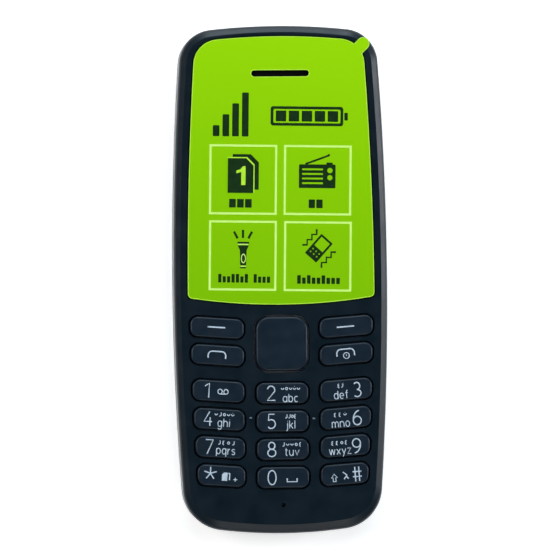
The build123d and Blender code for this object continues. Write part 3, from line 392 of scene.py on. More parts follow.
KEYS = [
    "soft_left", "soft_right", "key_call", "key_end", "key_1", "key_2", "key_3", "key_4", "key_5",
    "key_6", "key_7", "key_8", "key_9", "key_star", "key_0", "key_hash", "nav_key",
]
finishes = {
    housing_plastic: ["front_cover"],
    rear_plastic: ["rear_housing"],
    cover_plastic: ["battery_cover"],
    window_plastic: ["display_lens"],
    film_material: ["protective_film"],
    adhesive: ["lens_adhesive"],
    receiver_mesh: ["earpiece_mesh"],
    loudspeaker_mesh: ["speaker_mesh"],
    membrane: ["loudspeaker", "earpiece_receiver"],
    foam: ["lcd_gasket"],
    display_glass: ["lcd_module"],
    ribbon_film: ["lcd_flex"],
    silicone: ["keymat"],
    dark_rubber: ["mic_boot", "motor_sleeve", "nav_pivot", "nav_plunger"],
    zinc_steel: ["nav_rocker", "housing_screws"],
    dome_steel: ["metal_domes"],
    lamp_resin: ["keypad_leds", "torch_led"],
    polyester: ["dome_sheet"],
    board_material: ["main_board"],
    socket_plastic: ["audio_jack", "battery_contacts"],
    steel: ["usb_port", "rf_shields", "sim_holder", "microphone"],
    clear_resin: ["torch_lens"],
    cell_wrap: ["battery"],
    gold: ["battery_terminals", "gsm_antenna"],
    motor_steel: ["vibration_motor"],
    tungsten: ["motor_weight"],
    key_plastic: KEYS,
}
for material, names in finishes.items():
    for name in names:
        nodes[name].data.materials.clear()
        nodes[name].data.materials.append(material)

# Flat prints: strokes are low rounded ridges of ink, and filled shapes are thin plates
SAME_POINT = 1e-6
STROKE_ROUNDNESS = 2
CORNER_STEPS = 6


def arc(centre_x, centre_y, radius_x, radius_y, start, end, steps=14):
    """Points along part of an ellipse, with angles in degrees."""
    turns = [math.radians(start + (end - start) * step / steps) for step in range(steps + 1)]
    return [
        (centre_x + radius_x * math.cos(turn), centre_y + radius_y * math.sin(turn))
        for turn in turns
    ]


def disc(x, y, radius, points):
    """A loop of evenly spaced points round a circle."""
    return arc(x, y, radius, radius, 0, 360 - 360 / points, points - 1)


def rounded_box(x, y, width, height, radius):
    """A loop: a box about a centre, with round corners."""
    loop = []
    for side_x, side_y, start in [(1, 1, 0), (-1, 1, 90), (-1, -1, 180), (1, -1, 270)]:
        corner_x = x + side_x * (width / 2 - radius)
        corner_y = y + side_y * (height / 2 - radius)
        loop += arc(corner_x, corner_y, radius, radius, start, start + 90, CORNER_STEPS)
    return loop


def placed(strokes, x, y, scale=1.0, turn=0.0):
    """Strokes scaled, turned by some radians and moved to a place."""
    cosine, sine = math.cos(turn) * scale, math.sin(turn) * scale
    return [
        [(x + cosine * u - sine * v, y + sine * u + cosine * v) for u, v in line]
        for line in strokes
    ]


def middle_of(points):
    """The middle of the box round some points, and the box's width and height."""
    across, along = [x for x, y in points], [y for x, y in points]
    width, height = max(across) - min(across), max(along) - min(along)
    return (min(across) + max(across)) / 2, (min(along) + max(along)) / 2, width, height


def add_line(curve, points, closed):
    """A straight-sided line of a curve."""
    line = curve.splines.new("POLY")
    line.points.add(len(points) - 1)
    for place, (x, y) in zip(line.points, points):
        place.co = (x * MM, y * MM, 0, 1)
    line.use_cyclic_u = closed


def as_piece(name, curve, material, body):
    """Turns a curve into a mesh piece that rides on a body."""
    carrier = bpy.data.objects.new(name + "_line", curve)
    bpy.context.scene.collection.objects.link(carrier)
    bpy.context.view_layer.update()
    evaluated = carrier.evaluated_get(bpy.context.evaluated_depsgraph_get())
    mesh = bpy.data.meshes.new_from_object(evaluated)
    bpy.data.objects.remove(carrier)
    bpy.data.curves.remove(curve)
    mesh.name = name
    mesh.materials.clear()
    mesh.materials.append(material)
    piece = bpy.data.objects.new(name, mesh)
    bpy.context.scene.collection.objects.link(piece)
    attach(piece, body)
    return piece


def stroke_piece(name, strokes, width_mm, level_mm, material, body, flatness=0.12):
    """Ink strokes of one width: open lines, or closed ones where the last point is the first."""
    curve = bpy.data.curves.new(name, "CURVE")
    curve.dimensions = "3D"
    curve.bevel_depth = width_mm * MM / 2
    curve.bevel_resolution = STROKE_ROUNDNESS
    curve.use_fill_caps = True
    for stroke in strokes:
        closed = math.dist(stroke[0], stroke[-1]) < SAME_POINT
        add_line(curve, stroke[:-1] if closed else stroke, closed)
    piece = as_piece(name, curve, material, body)
    squeeze = Matrix.Diagonal((1, 1, flatness, 1))
    piece.data.transform(Matrix.Translation((0, 0, level_mm * MM)) @ squeeze)
    for face in piece.data.polygons:
        face.use_smooth = True


def plate_piece(name, loops, level_mm, thickness_mm, material, body):
    """A thin plate with the outlines given; a loop inside another is a hole."""
    curve = bpy.data.curves.new(name, "CURVE")
    curve.dimensions = "2D"
    curve.fill_mode = "BOTH"
    curve.extrude = thickness_mm * MM / 2
    for loop in loops:
        add_line(curve, loop, True)
    piece = as_piece(name, curve, material, body)
    piece.data.transform(Matrix.Translation((0, 0, (level_mm + thickness_mm / 2) * MM)))


# Stroke alphabet for the key legends. Digits are 1 high; small letters are X_HEIGHT high.
X_HEIGHT = 0.7
BOWL = X_HEIGHT / 2
LETTER_WIDTH = 0.48
HALF = LETTER_WIDTH / 2
NARROW = 0.8
DESCENT = -0.3
LETTER_GAP = 0.21
bowl = arc(HALF, BOWL, HALF, BOWL, 0, 360, 24)
left_stem = [(0, X_HEIGHT), (0, 0)]
right_stem = [(LETTER_WIDTH, X_HEIGHT), (LETTER_WIDTH, 0)]
arch = arc(HALF, BOWL, HALF, BOWL, 180, 0) + [(LETTER_WIDTH, 0)]
narrow_arch = (
    arc(HALF * NARROW, BOWL, HALF * NARROW, BOWL, 180, 0) + [(LETTER_WIDTH * NARROW, 0)]
)
zigzag_w = [(0, X_HEIGHT), (0.18, 0), (0.36, X_HEIGHT), (0.54, 0), (0.72, X_HEIGHT)]
six = [arc(0.5, 0.32, 0.5, 0.68, 96, 180) + [(0, 0.3)], arc(0.28, 0.3, 0.28, 0.3, 0, 360, 24)]
# Each glyph: its width and its strokes
glyphs = {
    "0": (0.56, [arc(0.28, 0.5, 0.28, 0.5, 0, 360, 28)]),
    "1": (0.4, [[(0.02, 0.8), (0.32, 1.0), (0.32, 0)]]),
    "2": (0.56, [arc(0.27, 0.73, 0.26, 0.27, 165, -28) + [(0, 0), (0.56, 0)]]),
    "3": (0.5, [arc(0.22, 0.75, 0.22, 0.25, 140, -90), arc(0.22, 0.25, 0.27, 0.25, 90, -140)]),
    "4": (0.56, [[(0.36, 1), (0, 0.3), (0.56, 0.3)], [(0.42, 0.6), (0.42, 0)]]),
    "5": (0.54, [[(0.48, 1), (0.08, 1), (0.06, 0.58)] + arc(0.25, 0.31, 0.29, 0.31, 125, -140)]),
    "6": (0.56, six),
    "7": (0.52, [[(0, 1), (0.52, 1), (0.14, 0)]]),
    "8": (0.56, [
        arc(0.28, 0.76, 0.22, 0.24, 0, 360, 24), arc(0.28, 0.26, 0.28, 0.26, 0, 360, 24),
    ]),
    "9": (0.56, [[(0.56 - x, 1 - y) for x, y in line] for line in six]),
    "a": (0.5, [bowl, right_stem]),
    "b": (0.5, [bowl, [(0, 1), (0, 0)]]),
    "c": (0.46, [arc(HALF, BOWL, HALF, BOWL, 50, 310)]),
    "d": (0.5, [bowl, [(LETTER_WIDTH, 1), (LETTER_WIDTH, 0)]]),
    "e": (0.5, [[(0, BOWL), (LETTER_WIDTH, BOWL)] + arc(HALF, BOWL, HALF, BOWL, 0, 310)]),
    "f": (0.34, [
        arc(0.3, 0.82, 0.16, 0.18, 90, 180) + [(0.14, 0)], [(0, X_HEIGHT), (0.32, X_HEIGHT)],
    ]),
    "g": (0.5, [bowl, [(LETTER_WIDTH, X_HEIGHT)] + arc(HALF, -0.05, HALF, -DESCENT, 0, -150)]),
    "h": (0.5, [[(0, 1), (0, 0)], arch]),
    "i": (0.06, [[(0.03, X_HEIGHT), (0.03, 0)], [(0.03, 0.88), (0.03, 0.92)]]),
    "j": (0.16, [
        [(0.12, X_HEIGHT)] + arc(-0.04, -0.08, 0.16, 0.2, 0, -90), [(0.12, 0.88), (0.12, 0.92)],
    ]),
    "k": (0.42, [[(0, 1), (0, 0)], [(0.4, X_HEIGHT), (0.02, 0.28)], [(0.14, 0.39), (0.42, 0)]]),
    "l": (0.06, [[(0.03, 1), (0.03, 0)]]),
    "m": (0.8, [left_stem, narrow_arch, [(x + 0.4, y) for x, y in narrow_arch]]),
    "n": (0.5, [left_stem, arch]),
    "o": (0.5, [bowl]),
    "p": (0.5, [bowl, [(0, X_HEIGHT), (0, DESCENT)]]),
    "q": (0.5, [bowl, [(LETTER_WIDTH, X_HEIGHT), (LETTER_WIDTH, DESCENT)]]),
    "r": (0.28, [left_stem, arc(0.26, 0.36, 0.26, 0.3, 180, 90)]),
    "s": (0.4, [arc(0.2, 0.5, 0.18, 0.16, 40, 250, 9) + arc(0.19, 0.17, 0.2, 0.17, 80, -150, 9)]),
    "t": (0.34, [
        [(0.13, 0.9), (0.13, 0.16)] + arc(0.29, 0.16, 0.16, 0.16, 180, 270),
        [(0, X_HEIGHT), (0.3, X_HEIGHT)],
    ]),
    "u": (0.5, [[(0, X_HEIGHT)] + arc(HALF, BOWL, HALF, BOWL, 180, 360), right_stem]),
    "v": (0.48, [[(0, X_HEIGHT), (0.24, 0), (0.48, X_HEIGHT)]]),
    "w": (0.72, list(zip(zigzag_w, zigzag_w[1:]))),
    "x": (0.46, [[(0, X_HEIGHT), (0.46, 0)], [(0.46, X_HEIGHT), (0, 0)]]),
    "y": (0.48, [[(0, X_HEIGHT), (0.24, 0.04)], [(0.48, X_HEIGHT), (0.1, DESCENT)]]),
    "z": (0.44, [[(0, X_HEIGHT), (0.42, X_HEIGHT), (0, 0), (0.44, 0)]]),
}


def written(text, height_mm):
    """The strokes of a text that is height_mm high, centred on its x, with its foot at 0."""
    strokes, reach = [], 0.0
    for letter in text:
        width, lines = glyphs[letter]
        strokes += [[(x + reach, y) for x, y in line] for line in lines]
        reach += width + LETTER_GAP
    middle = (reach - LETTER_GAP) / 2
    return [[((x - middle) * height_mm, y * height_mm) for x, y in line] for line in strokes]


# Signs of the key legends, in millimetres about their middle
def star(radius):
    """Five arms from a middle."""
    turns = [math.radians(90 + 72 * arm) for arm in range(5)]
    return [[(0, 0), (radius * math.cos(turn), radius * math.sin(turn))] for turn in turns]


def hash_sign(width, height):
    """Two upright and two level strokes."""
    strokes = []
    for side in (-1, 1):
        x = side * width * 0.22
        strokes.append([(x, -height / 2), (x, height / 2)])
    for side in (-1, 1):
        y = side * height * 0.17
        strokes.append([(-width / 2, y), (width / 2, y)])
    return strokes


def handset(width, height):
    """The arch of a lifted or resting handset."""
    radius = height * 0.6
    side = width / 2
    return [
        [(-side, -height / 2)]
        + arc(radius - side, height / 2 - radius, radius, radius, 180, 90, CORNER_STEPS)
        + arc(side - radius, height / 2 - radius, radius, radius, 90, 0, CORNER_STEPS)
        + [(side, -height / 2)]
    ]


DASH = [[(-2.04, 0), (2.04, 0)]]
LOOPS = [arc(side * 0.68, 0, 0.5, 0.55, 0, 360, 20) for side in (-1, 1)]
LOOPS += [[(-0.68, -0.55), (0.68, -0.55)]]
SPACE = [[(-1.15, 0.4), (-1.15, -0.4), (1.15, -0.4), (1.15, 0.4)]]
PLUS = [[(-0.45, 0), (0.45, 0)], [(0, -0.45), (0, 0.45)]]
CARDS = [
    [(-0.85, -0.85), (-0.85, 0.45), (-0.45, 0.85), (0.2, 0.85), (0.2, -0.85), (-0.85, -0.85)],
    [(-0.6, -0.85), (-0.6, 0.6)],
    [(-0.33, -0.85), (-0.33, 0.8)],
    [(-0.06, -0.85), (-0.06, 0.8)],
    [(0.5, 0.85), (0.8, 0.75), (0.8, -0.7)],
]
SHIFT = [[
    (-0.32, -0.85), (-0.32, 0.05), (-0.72, 0.05), (0, 0.85), (0.72, 0.05), (0.32, 0.05),
    (0.32, -0.85), (-0.32, -0.85),
]]
CRANK = [[(-0.55, 0.9), (0.35, 0.15), (-0.35, -0.75)], [(0.15, -0.1), (0.7, -0.7)]]
POWER = [arc(0, 0, 0.68, 0.68, 0, 360, 24), [(0, -0.1), (0, 0.3)]]

# The plain hooks and rings of the little marks
HOOK = arc(0, 0.2, 0.3, 0.34, 180, 360, 8)
TALL_HOOK = [(0.22, 0.5), (0.22, -0.1)] + arc(-0.08, -0.1, 0.3, 0.26, 0, -110, 6)
EYE = arc(0, 0.02, 0.24, 0.28, 0, 360, 12)
TWIN = arc(-0.02, 0.22, 0.22, 0.2, 60, 270, 8) + arc(-0.02, -0.2, 0.24, 0.22, 90, 290, 8)
DOT = [(-0.02, 0.52), (0.04, 0.52)]
MARKS = [[HOOK], [EYE], [HOOK, DOT], [TALL_HOOK], [TWIN], [TALL_HOOK, DOT]]


def little_marks(shapes, width):
    """A row of small plain hooks and rings, centred on its x."""
    step = width / len(shapes)
    strokes = []
    for place, shape in enumerate(shapes):
        strokes += placed(MARKS[shape], (place + 0.5) * step - width / 2, 0)
    return strokes


DIGIT_HEIGHT = 3.3
LETTER_HEIGHT = 1.85
DIGIT_X = 2.6
DIGIT_STROKE = 0.29
RIGHT_DIGIT_DROP = 0.2
LETTER_STROKE = 0.2
MARK_STROKE = 0.2
# The rows of keys lie on arcs of this radius
ARC_RADIUS = 200.0

# Keys with signs: column, and rows of strokes, their place about the key's middle, stroke width
legends = {
    "soft_left": (-1, [(DASH, -0.15, 0.1, 0.34)]),
    "soft_right": (1, [(DASH, -0.2, -0.05, 0.34)]),
    "key_call": (-1, [(handset(4.1, 1.6), -0.15, 0.05, 0.31)]),
    "key_end": (1, [(handset(4.1, 1.6), -0.15, 0.3, 0.31), (POWER, 0.0, -0.42, 0.2)]),
    "key_1": (-1, [(LOOPS, 1.05, -0.1, 0.24)]),
    "key_star": (-1, [
        (star(1.5), -DIGIT_X, 0.4, 0.28), (CARDS, 1.1, -0.2, 0.31), (PLUS, 3.25, -0.75, 0.2),
    ]),
    "key_0": (0, [(SPACE, 2.06, -0.6, 0.32)]),
    "key_hash": (1, [
        (hash_sign(2.1, 3.4), DIGIT_X + 0.25, -0.2, 0.29),
        (SHIFT, -2.5, -0.7, 0.26),
        (CRANK, 0.1, -0.4, 0.3),
    ]),
}
# Keys with letters: column, letters, their place; then the marks above, their width and height
written_keys = {
    "key_2": (0, "abc", 1.9, -2.05, (0, 1, 0, 2, 0), 4.6, 1.0),
    "key_3": (1, "def", -1.25, -2.0, (4, 3), 1.3, 1.0),
    "key_4": (-1, "ghi", 1.1, -1.65, (0, 3, 1, 0, 2), 4.8, 1.1),
    "key_5": (0, "jkl", 1.9, -1.7, (3, 3, 1, 4), 2.9, 1.1),
    "key_6": (1, "mno", -1.25, -2.05, (4, 4, 2), 3.4, 0.8),
    "key_7": (-1, "pqrs", 1.3, -1.5, (5, 4, 1, 3), 4.3, 1.1),
    "key_8": (0, "tuv", 2.1, -1.45, (3, 0, 0, 1, 4), 5.0, 1.1),
    "key_9": (1, "wxyz", -1.3, -1.85, (4, 4, 1, 4), 4.2, 0.8),
}


def add_letters():
    """Adds the rows of letters and little marks to the legends."""
    for name, (column, letters, line_x, foot_y, shapes, width, marks_y) in written_keys.items():
        legends[name] = (column, [
            (written(letters, LETTER_HEIGHT), line_x, foot_y, LETTER_STROKE),
            (little_marks(shapes, width), line_x, marks_y, MARK_STROKE),
        ])


def add_digits():
    """Adds the digits to the legends: on the left of a key, and on the right in the last column."""
    for digit in "0123456789":
        column, rows = legends["key_" + digit]
        digit_x, drop = (DIGIT_X, RIGHT_DIGIT_DROP) if column == 1 else (-DIGIT_X, 0)
        foot_y = -DIGIT_HEIGHT / 2 - drop
        rows.append((written(digit, DIGIT_HEIGHT), digit_x, foot_y, DIGIT_STROKE))


def print_legend(name, column, rows):
    """A key's legend, turned with its row: one piece for each width of stroke."""
    low, high = box_of(name)
    middle = (low + high) / 2
    tilt = math.asin(middle.x / ARC_RADIUS) if column else 0.0
    widths = sorted({width for strokes, x, y, width in rows})
    for order, width in enumerate(widths, 1):
        lines = []
        for strokes, x, y, row_width in rows:
            if row_width == width:
                lines += placed(strokes, x, y)
        lines = placed(lines, middle.x, middle.y, turn=tilt)
        stroke_piece(f"{name}_legend_{order}", lines, width, high.z, print_ink, name)


add_letters()
add_digits()
for name, (column, rows) in legends.items():
    print_legend(name, column, rows)

# Painted highlights: short light strokes along the two ridge tops
RIDGE_TOP = 14.15
HIGHLIGHT_REACH, HIGHLIGHT_WIDTH = 0.3, 0.34


def print_ridge_highlight():
    """Painted highlights on the tops of the two ridges beside the middle key."""
    strokes = []
    for pixel in RIDGE_PIXELS:
        x, y = from_photo(*pixel)
        strokes.append([(x - HIGHLIGHT_REACH, y), (x + HIGHLIGHT_REACH, y)])
    stroke_piece(
        "ridge_highlight", strokes, HIGHLIGHT_WIDTH, RIDGE_TOP, ridge_highlight, "handset", 0.1
    )


print_ridge_highlight()

# Film print: four light frames, each with a plain pictogram over a row of blocks.
# The print sits slightly turned against the phone.
INK = 0.02
INK_FLATNESS = 0.06
PRINT_TURN = math.radians(-1.1)


def turned(loops):
    """Loops turned with the print about their common middle."""
    x, y, _, _ = middle_of([point for loop in loops for point in loop])
    centred = [[(u - x, v - y) for u, v in loop] for loop in loops]
    return placed(centred, x, y, turn=PRINT_TURN)


def film_plate(name, loops, ink, layer=0):
    """A printed shape on the film, on its layer of ink."""
    plate_piece(name, turned(loops), film_top + layer * INK, INK, ink, "film")


def film_strokes(name, strokes, width, ink, layer=0):
    """Printed strokes on the film."""
    level = film_top + layer * INK
    stroke_piece(name, turned(strokes), width, level, ink, "film", INK_FLATNESS)


FRAME_LINE = 0.5
FRAME_WIDTH, FRAME_HEIGHT = 15.75, 16.25
FRAME_CORNER, FRAME_INNER_CORNER = 0.08, 0.05


def film_frame(name, pixel):
    """A light frame round a pictogram."""
    x, y = from_photo(*pixel)
    outer = rounded_box(x, y, FRAME_WIDTH, FRAME_HEIGHT, FRAME_CORNER)
    inner_width, inner_height = FRAME_WIDTH - 2 * FRAME_LINE, FRAME_HEIGHT - 2 * FRAME_LINE
    inner = rounded_box(x, y, inner_width, inner_height, FRAME_INNER_CORNER)
    film_plate(f"film_frame_{name}", [outer, inner], light_ink)


# The blocks under each pictogram, t for tall and s for short
BLOCK_ROWS = {"card": "ttt", "radio": "tt", "torch": "tssttst tsss", "vibration": "tstsstsss"}
TALL_BLOCK, SHORT_BLOCK, BLOCK_GAP, BLOCK_CORNER = 2.0, 1.45, 0.3, 0.12


def block_row(name, start_pixel, end_pixel):
    """A row of plain dark blocks that stand on one line."""
    left, level = from_photo(*start_pixel)
    right, _ = from_photo(*end_pixel)
    row = BLOCK_ROWS[name]
    step = (right - left + BLOCK_GAP) / len(row)
    loops = []
    for place, kind in enumerate(row):
        if kind == " ":
            continue
        height = TALL_BLOCK if kind == "t" else SHORT_BLOCK
        x = left + (place + 0.5) * step - BLOCK_GAP / 2
        y = level + (height - TALL_BLOCK) / 2
        loops.append(rounded_box(x, y, step - BLOCK_GAP, height, BLOCK_CORNER))
    film_plate(f"film_caption_{name}", loops, dark_ink)


CARD_WIDTH, CARD_HEIGHT, CARD_CUT, CARD_EDGE = 5.95, 8.05, 1.7, 0.26
BACK_CARD_WIDTH, BACK_CARD_HEIGHT, BACK_CARD_CUT = 6.1, 8.2, 1.9
NUMBER_ONE_X = 0.1
NUMBER_ONE = [
    (0.05, -2.2), (1.05, -2.2), (1.05, 2.2), (0.45, 2.2), (-0.2, 1.45), (-1.1, 1.15), (-1.1, 0.5),
    (0.05, 0.8),
]


def cut_card(x, y, width, height, cut):
    """A card with one corner cut off, as a loop."""
    return [
        (x - width / 2, y - height / 2),
        (x + width / 2, y - height / 2),
        (x + width / 2, y + height / 2 - cut),
        (x + width / 2 - cut, y + height / 2),
        (x - width / 2, y + height / 2),
    ]


def card_pictogram():
    """Two cards, one behind the other, with a plain number on the front one."""
    x, y = from_photo(*FRONT_CARD_PIXEL)
    back_x, back_y = from_photo(*BACK_CARD_PIXEL)
    back = cut_card(back_x, back_y, BACK_CARD_WIDTH, BACK_CARD_HEIGHT, BACK_CARD_CUT)
    film_plate("film_card_back", [back], dark_ink)
    edge_x, edge_y = x + CARD_EDGE / 2, y + CARD_EDGE / 2
    edge = cut_card(edge_x, edge_y, CARD_WIDTH + CARD_EDGE, CARD_HEIGHT + CARD_EDGE, CARD_CUT)
    film_plate("film_card_edge", [edge], print_and_highlight_ink, 1)
    front = cut_card(x, y, CARD_WIDTH, CARD_HEIGHT, CARD_CUT)
    number = [(x + NUMBER_ONE_X + u, y + v) for u, v in NUMBER_ONE]
    film_plate("film_card_front", [front, number], dark_ink, 2)


GRILLE_BARS, GRILLE_PITCH = 4, 1.07
DIAL_RADIUS, DIAL_X, DIAL_YS = 0.62, 2.95, (1.35, -0.3)
AERIAL_WIDTH, TIP_RADIUS = 0.46, 0.28


def radio_pictogram():
    """A radio: a cabinet with grille bars and two dials, its handle, and its aerial with a tip."""
    x, y = from_photo(*RADIO_PIXEL)
    cabinet = [rounded_box(x, y, 8.5, 5.5, 0.25)]
    for bar in range(GRILLE_BARS):
        cabinet.append(rounded_box(x - 1.1, y + 1.6 - bar * GRILLE_PITCH, 4.9, 0.42, 0.18))
    for dial_y in DIAL_YS:
        cabinet.append(disc(x + DIAL_X, y + dial_y, DIAL_RADIUS, 24))
    film_plate("film_radio", cabinet, dark_ink)
    film_plate("film_radio_handle", [rounded_box(x + 2.9, y + 2.9, 1.5, 0.5, 0.2)], dark_ink)
    foot, tip = (x - 2.7, y + 2.8), (x + 2.75, y + 4.85)
    film_strokes("film_radio_aerial", [[foot, tip]], AERIAL_WIDTH, dark_ink)
    film_plate("film_radio_tip", [arc(*tip, TIP_RADIUS, TIP_RADIUS, 0, 345, 15)], dark_ink)


HEAD_HALF, NECK_HALF, FOOT_HALF = 1.3, 0.8, 0.68
RAY_WIDTH, SWITCH_LINE, BAND_LINE = 0.54, 0.2, 0.24


def torch_pictogram():
    """A torch with three rays, a switch and two light bands."""
    x, y = from_photo(*TORCH_PIXEL)
    head = rounded_box(x, y + 2.85, 2.7, 0.55, 0.12)
    handle = [
        (x - HEAD_HALF, y + 2.3), (x - NECK_HALF, y + 1.2), (x - FOOT_HALF, y - 2.3),
        (x + FOOT_HALF, y - 2.3), (x + NECK_HALF, y + 1.2), (x + HEAD_HALF, y + 2.3),
    ]
    foot = rounded_box(x, y - 2.8, 1.36, 0.45, 0.1)
    film_plate("film_torch", [head, handle, foot], dark_ink)
    rays = [
        [(x, y + 4.0), (x, y + 5.9)],
        [(x - 1.25, y + 3.9), (x - 2.1, y + 5.5)],
        [(x + 1.25, y + 3.9), (x + 2.1, y + 5.5)],
    ]
    film_strokes("film_torch_rays", rays, RAY_WIDTH, dark_ink)
    switch_x, switch_y = from_photo(*SWITCH_PIXEL)
    ring = arc(switch_x, switch_y, 0.48, 1.0, 0, 360, 24)
    spot = [(switch_x, switch_y - 0.3), (switch_x, switch_y - 0.34)]
    film_strokes("film_torch_switch", [ring, spot], SWITCH_LINE, light_ink, 1)
    bands = []
    for pixel, half in ((HEAD_BAND_PIXEL, 1.25), (FOOT_BAND_PIXEL, 0.6)):
        _, band_y = from_photo(*pixel)
        bands.append([(x - half, band_y), (x + half, band_y)])
    film_strokes("film_torch_bands", bands, BAND_LINE, light_ink, 1)


PHONE_LEAN = math.radians(-41)
STRIDES, STRIDE, RISE = 3, 1.1, 1.22
ZIGZAG_WIDTH = 0.48


def zigzag():
    """A stepped line about its middle."""
    stairs = [(0, 0)]
    for _ in range(STRIDES):
        stairs.append((stairs[-1][0] + STRIDE, stairs[-1][1]))
        stairs.append((stairs[-1][0], stairs[-1][1] + RISE))
    middle_x, middle_y = stairs[-1][0] / 2, stairs[-1][1] / 2
    return [(x - middle_x, y - middle_y) for x, y in stairs]


def shaking_phone_pictogram():
    """A leaning phone, with a screen and a small keypad, between two stepped lines."""
    x, y = from_photo(*SHAKING_PHONE_PIXEL)
    loops = [rounded_box(0, 0, 3.5, 5.85, 0.2), rounded_box(0, 1.15, 2.55, 2.6, 0.1)]
    for column in (-1, 0, 1):
        for row in (0, 1):
            loops.append(disc(column * 0.95, -0.95 - row * 0.85, 0.19, 12))
    film_plate("film_phone", placed(loops, x, y, turn=PHONE_LEAN), dark_ink)
    upper = placed([zigzag()], *from_photo(*UPPER_ZIGZAG_PIXEL))
    lower = placed([zigzag()], *from_photo(*LOWER_ZIGZAG_PIXEL), turn=math.pi)
    film_strokes("film_phone_steps", upper + lower, ZIGZAG_WIDTH, dark_ink)


LEVEL_BARS, BAR_WIDTH, BAR_STEP, BAR_RISE, BAR_CORNER = 4, 1.55, 2.25, 2.55, 0.25


def level_bars():
    """Bars that rise to the right."""
    left, foot = from_photo(*LEVEL_BARS_PIXEL)
    bars = []
    for bar in range(LEVEL_BARS):
        height = BAR_RISE * (bar + 1)
        x = left + BAR_WIDTH / 2 + bar * BAR_STEP
        bars.append(rounded_box(x, foot + height / 2, BAR_WIDTH, height, BAR_CORNER))
    film_plate("film_level_bars", bars, dark_ink)


CELL_LENGTH, CELL_HEIGHT, CELL_WALLS = 16.9, 4.5, 1.3
CELL_BARS = 5


def level_cell():
    """A battery cell with five bars in it."""
    x, y = from_photo(*CELL_PIXEL)
    loops = [
        rounded_box(x, y, CELL_LENGTH, CELL_HEIGHT, 0.6),
        rounded_box(x, y, CELL_LENGTH - CELL_WALLS, CELL_HEIGHT - CELL_WALLS, 0.25),
        rounded_box(x + CELL_LENGTH / 2 + 0.65, y, 0.8, 1.8, 0.2),
    ]
    step = (CELL_LENGTH - 1.8) / CELL_BARS
    for bar in range(CELL_BARS):
        bar_x = x + (bar - (CELL_BARS - 1) / 2) * step
        loops.append(rounded_box(bar_x, y, step - 0.6, CELL_HEIGHT - 2.0, 0.2))
    film_plate("film_cell", loops, dark_ink)


for name, pixel in FRAME_PIXELS.items():
    film_frame(name, pixel)
for name, (start_pixel, end_pixel) in BLOCK_ROW_PIXELS.items():
    block_row(name, start_pixel, end_pixel)
card_pictogram()
radio_pictogram()
torch_pictogram()
shaking_phone_pictogram()
level_bars()
level_cell()

# The film's cut edge: a thin bead round its upper rim, in lighter ink as a painted highlight of the
# edge
BEAD, BEAD_FLATNESS = 0.2, 0.3
MERGE_DISTANCE = 1e-7
LEVEL_TOLERANCE = 0.01
UPWARD = 0.9
# Loops with no more points than this are no rims, and rims narrower than this are holes
SMALL_LOOP = 8
HOLE_REACH = 20


def rim_edges(node, level_mm):
    """The neighbours of each vertex along a node's flat top at this level, and their places."""
    mesh = bmesh.new()
    mesh.from_mesh(nodes[node].data)
    bmesh.ops.remove_doubles(mesh, verts=mesh.verts, dist=MERGE_DISTANCE)
    rim = {}
    for edge in mesh.edges:
        flat = [face.normal.z > UPWARD for face in edge.link_faces]
        heights = [abs(vertex.co.z / MM - level_mm) for vertex in edge.verts]
        if max(heights) < LEVEL_TOLERANCE and flat.count(True) == 1:
            first, second = (vertex.index for vertex in edge.verts)
            rim.setdefault(first, []).append(second)
            rim.setdefault(second, []).append(first)
    spots = {vertex.index: (vertex.co.x / MM, vertex.co.y / MM) for vertex in mesh.verts}
    mesh.free()
    return rim, spots


def rim_loops(node, level_mm):
    """The loops of edges round a node's flat top at this level, in millimetres."""
    rim, spots = rim_edges(node, level_mm)
    loops, seen = [], set()
    for start in rim:
        if start in seen:
            continue
        loop, at = [], start
        while at not in seen:
            seen.add(at)
            loop.append(spots[at])
            at = next((n for n in rim[at] if n not in seen), at)
        loops.append(loop + [loop[0]])
    return loops


def grown(loop, by):
    """A loop grown by a distance about its middle, or shrunk."""
    x, y, width, height = middle_of(loop)
    stretch_x, stretch_y = 1 + 2 * by / width, 1 + 2 * by / height
    return [(x + (u - x) * stretch_x, y + (v - y) * stretch_y) for u, v in loop]


def film_edge_highlight():
    """A bead on the film in lighter ink, a painted highlight: inside its outline, and outside its
    holes.
    """
    rims = []
    for loop in rim_loops("protective_film", film_top):
        _, _, width, _ = middle_of(loop)
        if len(loop) > SMALL_LOOP:
            rims.append(grown(loop, BEAD / 2 if width < HOLE_REACH else -BEAD / 2))
    stroke_piece(
        "film_edge_highlight", rims, BEAD, film_top, print_and_highlight_ink, "film", BEAD_FLATNESS
    )


film_edge_highlight()

LABEL_WIDTH_SHARE, LABEL_LENGTH_SHARE, LABEL_CORNER = 0.86, 0.8, 1.2
LABEL_ROWS = (0.7, 0.5, 0.62, 0.44, 0.66, 0.36)
LABEL_ROW_START, LABEL_ROW_STEP = 0.32, 3.4
POLE_SHARE = 0.4


def battery_label():
    """The battery's label, seen with the cover off: plain bars and pole signs."""
    low, high = box_of("battery")
    x, y = (low.x + high.x) / 2, (low.y + high.y) / 2
    width = (high.x - low.x) * LABEL_WIDTH_SHARE
    length = (high.y - low.y) * LABEL_LENGTH_SHARE
    level = low.z - 2 * INK
    sheet = rounded_box(x, y, width, length, LABEL_CORNER)
    plate_piece("battery_label", [sheet], level + INK, INK, label_paper, "battery_pack")
    bars = []
    for row, share in enumerate(LABEL_ROWS):
        bar_y = y - length * LABEL_ROW_START + row * LABEL_ROW_STEP
        bars.append(rounded_box(x, bar_y, width * share, 0.9, 0.3))
    plate_piece("battery_label_bars", bars, level, INK, dark_rubber, "battery_pack")
    pole_y = y + length * POLE_SHARE
    poles = placed(PLUS, x - 4.0, pole_y, 2.0) + [[(x + 3.2, pole_y), (x + 4.8, pole_y)]]
    stroke_piece(
        "battery_label_poles", poles, 0.4, level, dark_rubber, "battery_pack", 0.05
    )


battery_label()

